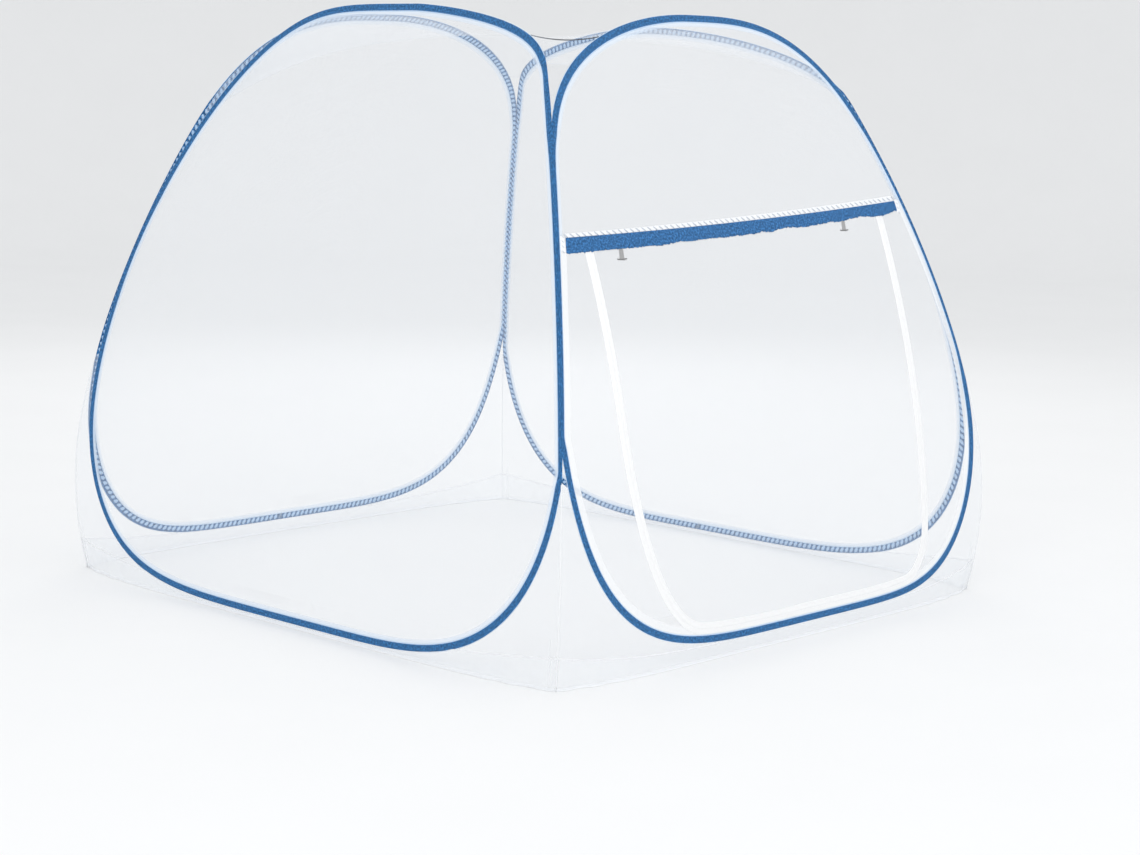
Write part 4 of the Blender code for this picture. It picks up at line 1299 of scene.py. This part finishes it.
def build_floor(color):
    """A round floor that curves up into a low wall, the same from every side."""
    bm = bmesh.new()
    flat, curve, turns = 11.0, 3.0, 72
    profile = [(3.0, 0.0), (7.0, 0.0), (flat, 0.0)]
    for k in range(1, 13):
        angle = math.pi / 2 * k / 12
        profile.append((flat + curve * math.sin(angle), curve - curve * math.cos(angle)))
    rings = [[bm.verts.new((r * math.cos(math.tau * k / turns), r * math.sin(math.tau * k / turns), z))
              for k in range(turns)] for r, z in profile]
    bm.faces.new(rings[0])
    for a, b in zip(rings, rings[1:]):
        for k in range(turns):
            bm.faces.new((a[k - 1], b[k - 1], b[k], a[k]))
    mesh = to_mesh("floor", bm)
    mesh.materials.append(floor_material(color))
    for face in mesh.polygons:
        face.use_smooth = True
    floor = bpy.data.objects.new("floor", mesh)
    bpy.context.scene.collection.objects.link(floor)


def build_lights():
    world = bpy.data.worlds.new("studio")
    world.use_nodes = True
    world.node_tree.nodes["Background"].inputs[0].default_value = (0.97, 0.985, 1.0, 1)
    world.node_tree.nodes["Background"].inputs[1].default_value = 0.92
    bpy.context.scene.world = world
    bpy.context.scene.view_settings.view_transform = "Standard"
    lamps = {  # name: (place, aim, size, watts)
        "key": ((-6.5, -4.0, 4.0), (0, 0, 0.8), 4.0, 105),
        "fill": ((1.0, -7.0, 3.0), (0, 0, 0.8), 4.5, 62),
        "top": ((0, 0, 6.0), (0, 0, 0), 5.0, 30),
        "back": ((3.5, 3.5, 3.5), (0.0, 0.0, 0.6), 3.5, 30),
    }
    for name, (place, aim, size, watts) in lamps.items():
        data = bpy.data.lights.new(name, "AREA")
        data.shape, data.size, data.energy = "DISK", size, watts
        lamp = bpy.data.objects.new(name, data)
        lamp.location = place
        lamp.rotation_euler = (Vector(aim) - Vector(place)).to_track_quat("-Z", "Y").to_euler()
        bpy.context.scene.collection.objects.link(lamp)


def build_camera():
    yaw, pitch, roll = (math.radians(a) for a in (CAMERA_YAW, CAMERA_PITCH, CAMERA_ROLL))
    ahead = Vector((math.sin(yaw) * math.cos(pitch), math.cos(yaw) * math.cos(pitch), -math.sin(pitch)))
    right = Vector((math.cos(yaw), -math.sin(yaw), 0))
    up = right.cross(ahead)
    right, up = (math.cos(roll) * right + math.sin(roll) * up, math.cos(roll) * up - math.sin(roll) * right)
    data = bpy.data.cameras.new("camera")
    data.lens, data.sensor_width = CAMERA_LENS, 36.0
    data.clip_end = 100
    camera = bpy.data.objects.new("camera", data)
    turn = Matrix((right, up, -ahead)).transposed().to_4x4()
    camera.matrix_world = Matrix.Translation(CAMERA_AT) @ turn
    bpy.context.scene.collection.objects.link(camera)
    bpy.context.scene.camera = camera


# --- Add-on ----------------------------------------------------------------------------------------

def size_property(label, words, value, low, high, **kind):
    return bpy.props.FloatProperty(name=label, description=words, default=value, min=low, max=high,
                                   **(kind or {"unit": "LENGTH"}))


class TentSizes(bpy.types.PropertyGroup):
    wire_swell: size_property("Wire swell", "How far the spring wire lifts the binding", 0.0011, 0.0, 0.003)
    zip_pitch: size_property("Zip pitch", "Distance between the zip's teeth", 0.0024, 0.001, 0.01)
    valance_thickness: size_property("Valance thickness", "Thickness of the blue valance",
                                     0.0024, 0.001, 0.005)
    hatch_pitch: size_property("Hatch pitch", "Distance between the heading tape's slanted stitches",
                               0.0215, 0.005, 0.05)
    hatch_slant: size_property("Hatch slant", "Slant of the heading tape's stitches",
                               -0.65, -1.6, 1.6, subtype="ANGLE")
    toggle_length: size_property("Toggle length", "Length of a toggle's strap", 0.030, 0.01, 0.06)
    toggle_bar: size_property("Toggle bar radius", "Radius of a toggle's cross bar", 0.0017, 0.001, 0.004)


def color_property(label, words, value):
    return bpy.props.FloatVectorProperty(name=label, description=words, default=value, size=3,
                                         min=0.0, max=1.0, subtype="COLOR")


class TentColors(bpy.types.PropertyGroup):
    binding: color_property("Binding", "Blue of the hoops' binding", (0.034, 0.142, 0.335))
    valance: color_property("Valance", "Blue of the valance", (0.036, 0.142, 0.340))
    selvage: color_property("Edge thread", "Pale blue of the overcast edges", (0.62, 0.76, 0.92))
    net: color_property("Net", "White of the net", (0.90, 0.92, 0.95))
    hem: color_property("Hem", "Blue-white of the net's turned edges", (0.72, 0.80, 0.90))
    toggle: color_property("Toggle", "Grey of the toggles", (0.36, 0.36, 0.36))
    floor: color_property("Floor", "Pale paint of the floor", (0.87, 0.87, 0.87))


class TentOperator:
    bl_options = {"REGISTER", "UNDO"}


class NETTENT_OT_hoops(TentOperator, bpy.types.Operator):
    """Make the four hoops' bindings and their edge stitches"""
    bl_idname = "nettent.hoops"
    bl_label = "Hoops"

    def execute(self, context):
        build_hoops(context.scene.tent_sizes)
        return {"FINISHED"}


class NETTENT_OT_panels(TentOperator, bpy.types.Operator):
    """Make the whole net panels of the foot, head and rear walls"""
    bl_idname = "nettent.panels"
    bl_label = "Net panels"

    def execute(self, context):
        build_panels()
        return {"FINISHED"}


class NETTENT_OT_door(TentOperator, bpy.types.Operator):
    """Make the door wall's nets, edging and zip"""
    bl_idname = "nettent.door"
    bl_label = "Door"

    def execute(self, context):
        build_door(context.scene.tent_sizes)
        return {"FINISHED"}


class NETTENT_OT_valance(TentOperator, bpy.types.Operator):
    """Make the blue valance and its hatched heading tape"""
    bl_idname = "nettent.valance"
    bl_label = "Valance"

    def execute(self, context):
        build_valance(context.scene.tent_sizes)
        return {"FINISHED"}


class NETTENT_OT_toggles(TentOperator, bpy.types.Operator):
    """Make the two toggles under the valance"""
    bl_idname = "nettent.toggles"
    bl_label = "Toggles"

    def execute(self, context):
        build_toggles(context.scene.tent_sizes)
        return {"FINISHED"}


class NETTENT_OT_roof(TentOperator, bpy.types.Operator):
    """Make the roof net"""
    bl_idname = "nettent.roof"
    bl_label = "Roof net"

    def execute(self, context):
        build_roof()
        return {"FINISHED"}


class NETTENT_OT_corners(TentOperator, bpy.types.Operator):
    """Make the four lower corner nets and their seams"""
    bl_idname = "nettent.corners"
    bl_label = "Corner nets"

    def execute(self, context):
        build_corners()
        return {"FINISHED"}


class NETTENT_OT_skirt(TentOperator, bpy.types.Operator):
    """Make the skirt with its seam and hem"""
    bl_idname = "nettent.skirt"
    bl_label = "Skirt"

    def execute(self, context):
        build_skirt()
        return {"FINISHED"}


class NETTENT_OT_cord(TentOperator, bpy.types.Operator):
    """Make the cord across the near top corner"""
    bl_idname = "nettent.cord"
    bl_label = "Corner cord"

    def execute(self, context):
        build_cord()
        return {"FINISHED"}


class NETTENT_OT_stage(TentOperator, bpy.types.Operator):
    """Make the floor, the lights and the camera"""
    bl_idname = "nettent.stage"
    bl_label = "Stage"

    def execute(self, context):
        build_floor(tuple(context.scene.tent_colors.floor))
        build_lights()
        build_camera()
        return {"FINISHED"}


OPERATORS = (NETTENT_OT_stage, NETTENT_OT_cord, NETTENT_OT_hoops, NETTENT_OT_panels, NETTENT_OT_door,
             NETTENT_OT_valance, NETTENT_OT_toggles, NETTENT_OT_roof, NETTENT_OT_skirt, NETTENT_OT_corners)


class NETTENT_PT_panel(bpy.types.Panel):
    """Sizes, colours and pieces of the tent"""
    bl_idname = "NETTENT_PT_panel"
    bl_label = "Net tent"
    bl_space_type = "VIEW_3D"
    bl_region_type = "UI"
    bl_category = "Net tent"

    def draw(self, context):
        for group in (context.scene.tent_sizes, context.scene.tent_colors):
            for key in group.__annotations__:
                self.layout.prop(group, key)
        for operator in OPERATORS:
            self.layout.operator(operator.bl_idname)


CLASSES = (TentSizes, TentColors, *OPERATORS, NETTENT_PT_panel)


def register():
    for each in CLASSES:
        bpy.utils.register_class(each)
    bpy.types.Scene.tent_sizes = bpy.props.PointerProperty(type=TentSizes)
    bpy.types.Scene.tent_colors = bpy.props.PointerProperty(type=TentColors)
    bpy.types.Scene.tent_materials_made = bpy.props.BoolProperty(
        name="Materials made", description="Whether the tent's materials are in the file", default=False)


def unregister():
    del bpy.types.Scene.tent_materials_made
    del bpy.types.Scene.tent_colors
    del bpy.types.Scene.tent_sizes
    for each in reversed(CLASSES):
        bpy.utils.unregister_class(each)


def main():
    register()
    for operator in OPERATORS:
        group, name = operator.bl_idname.split(".")
        getattr(getattr(bpy.ops, group), name)()


if __name__ == "__main__":
    main()
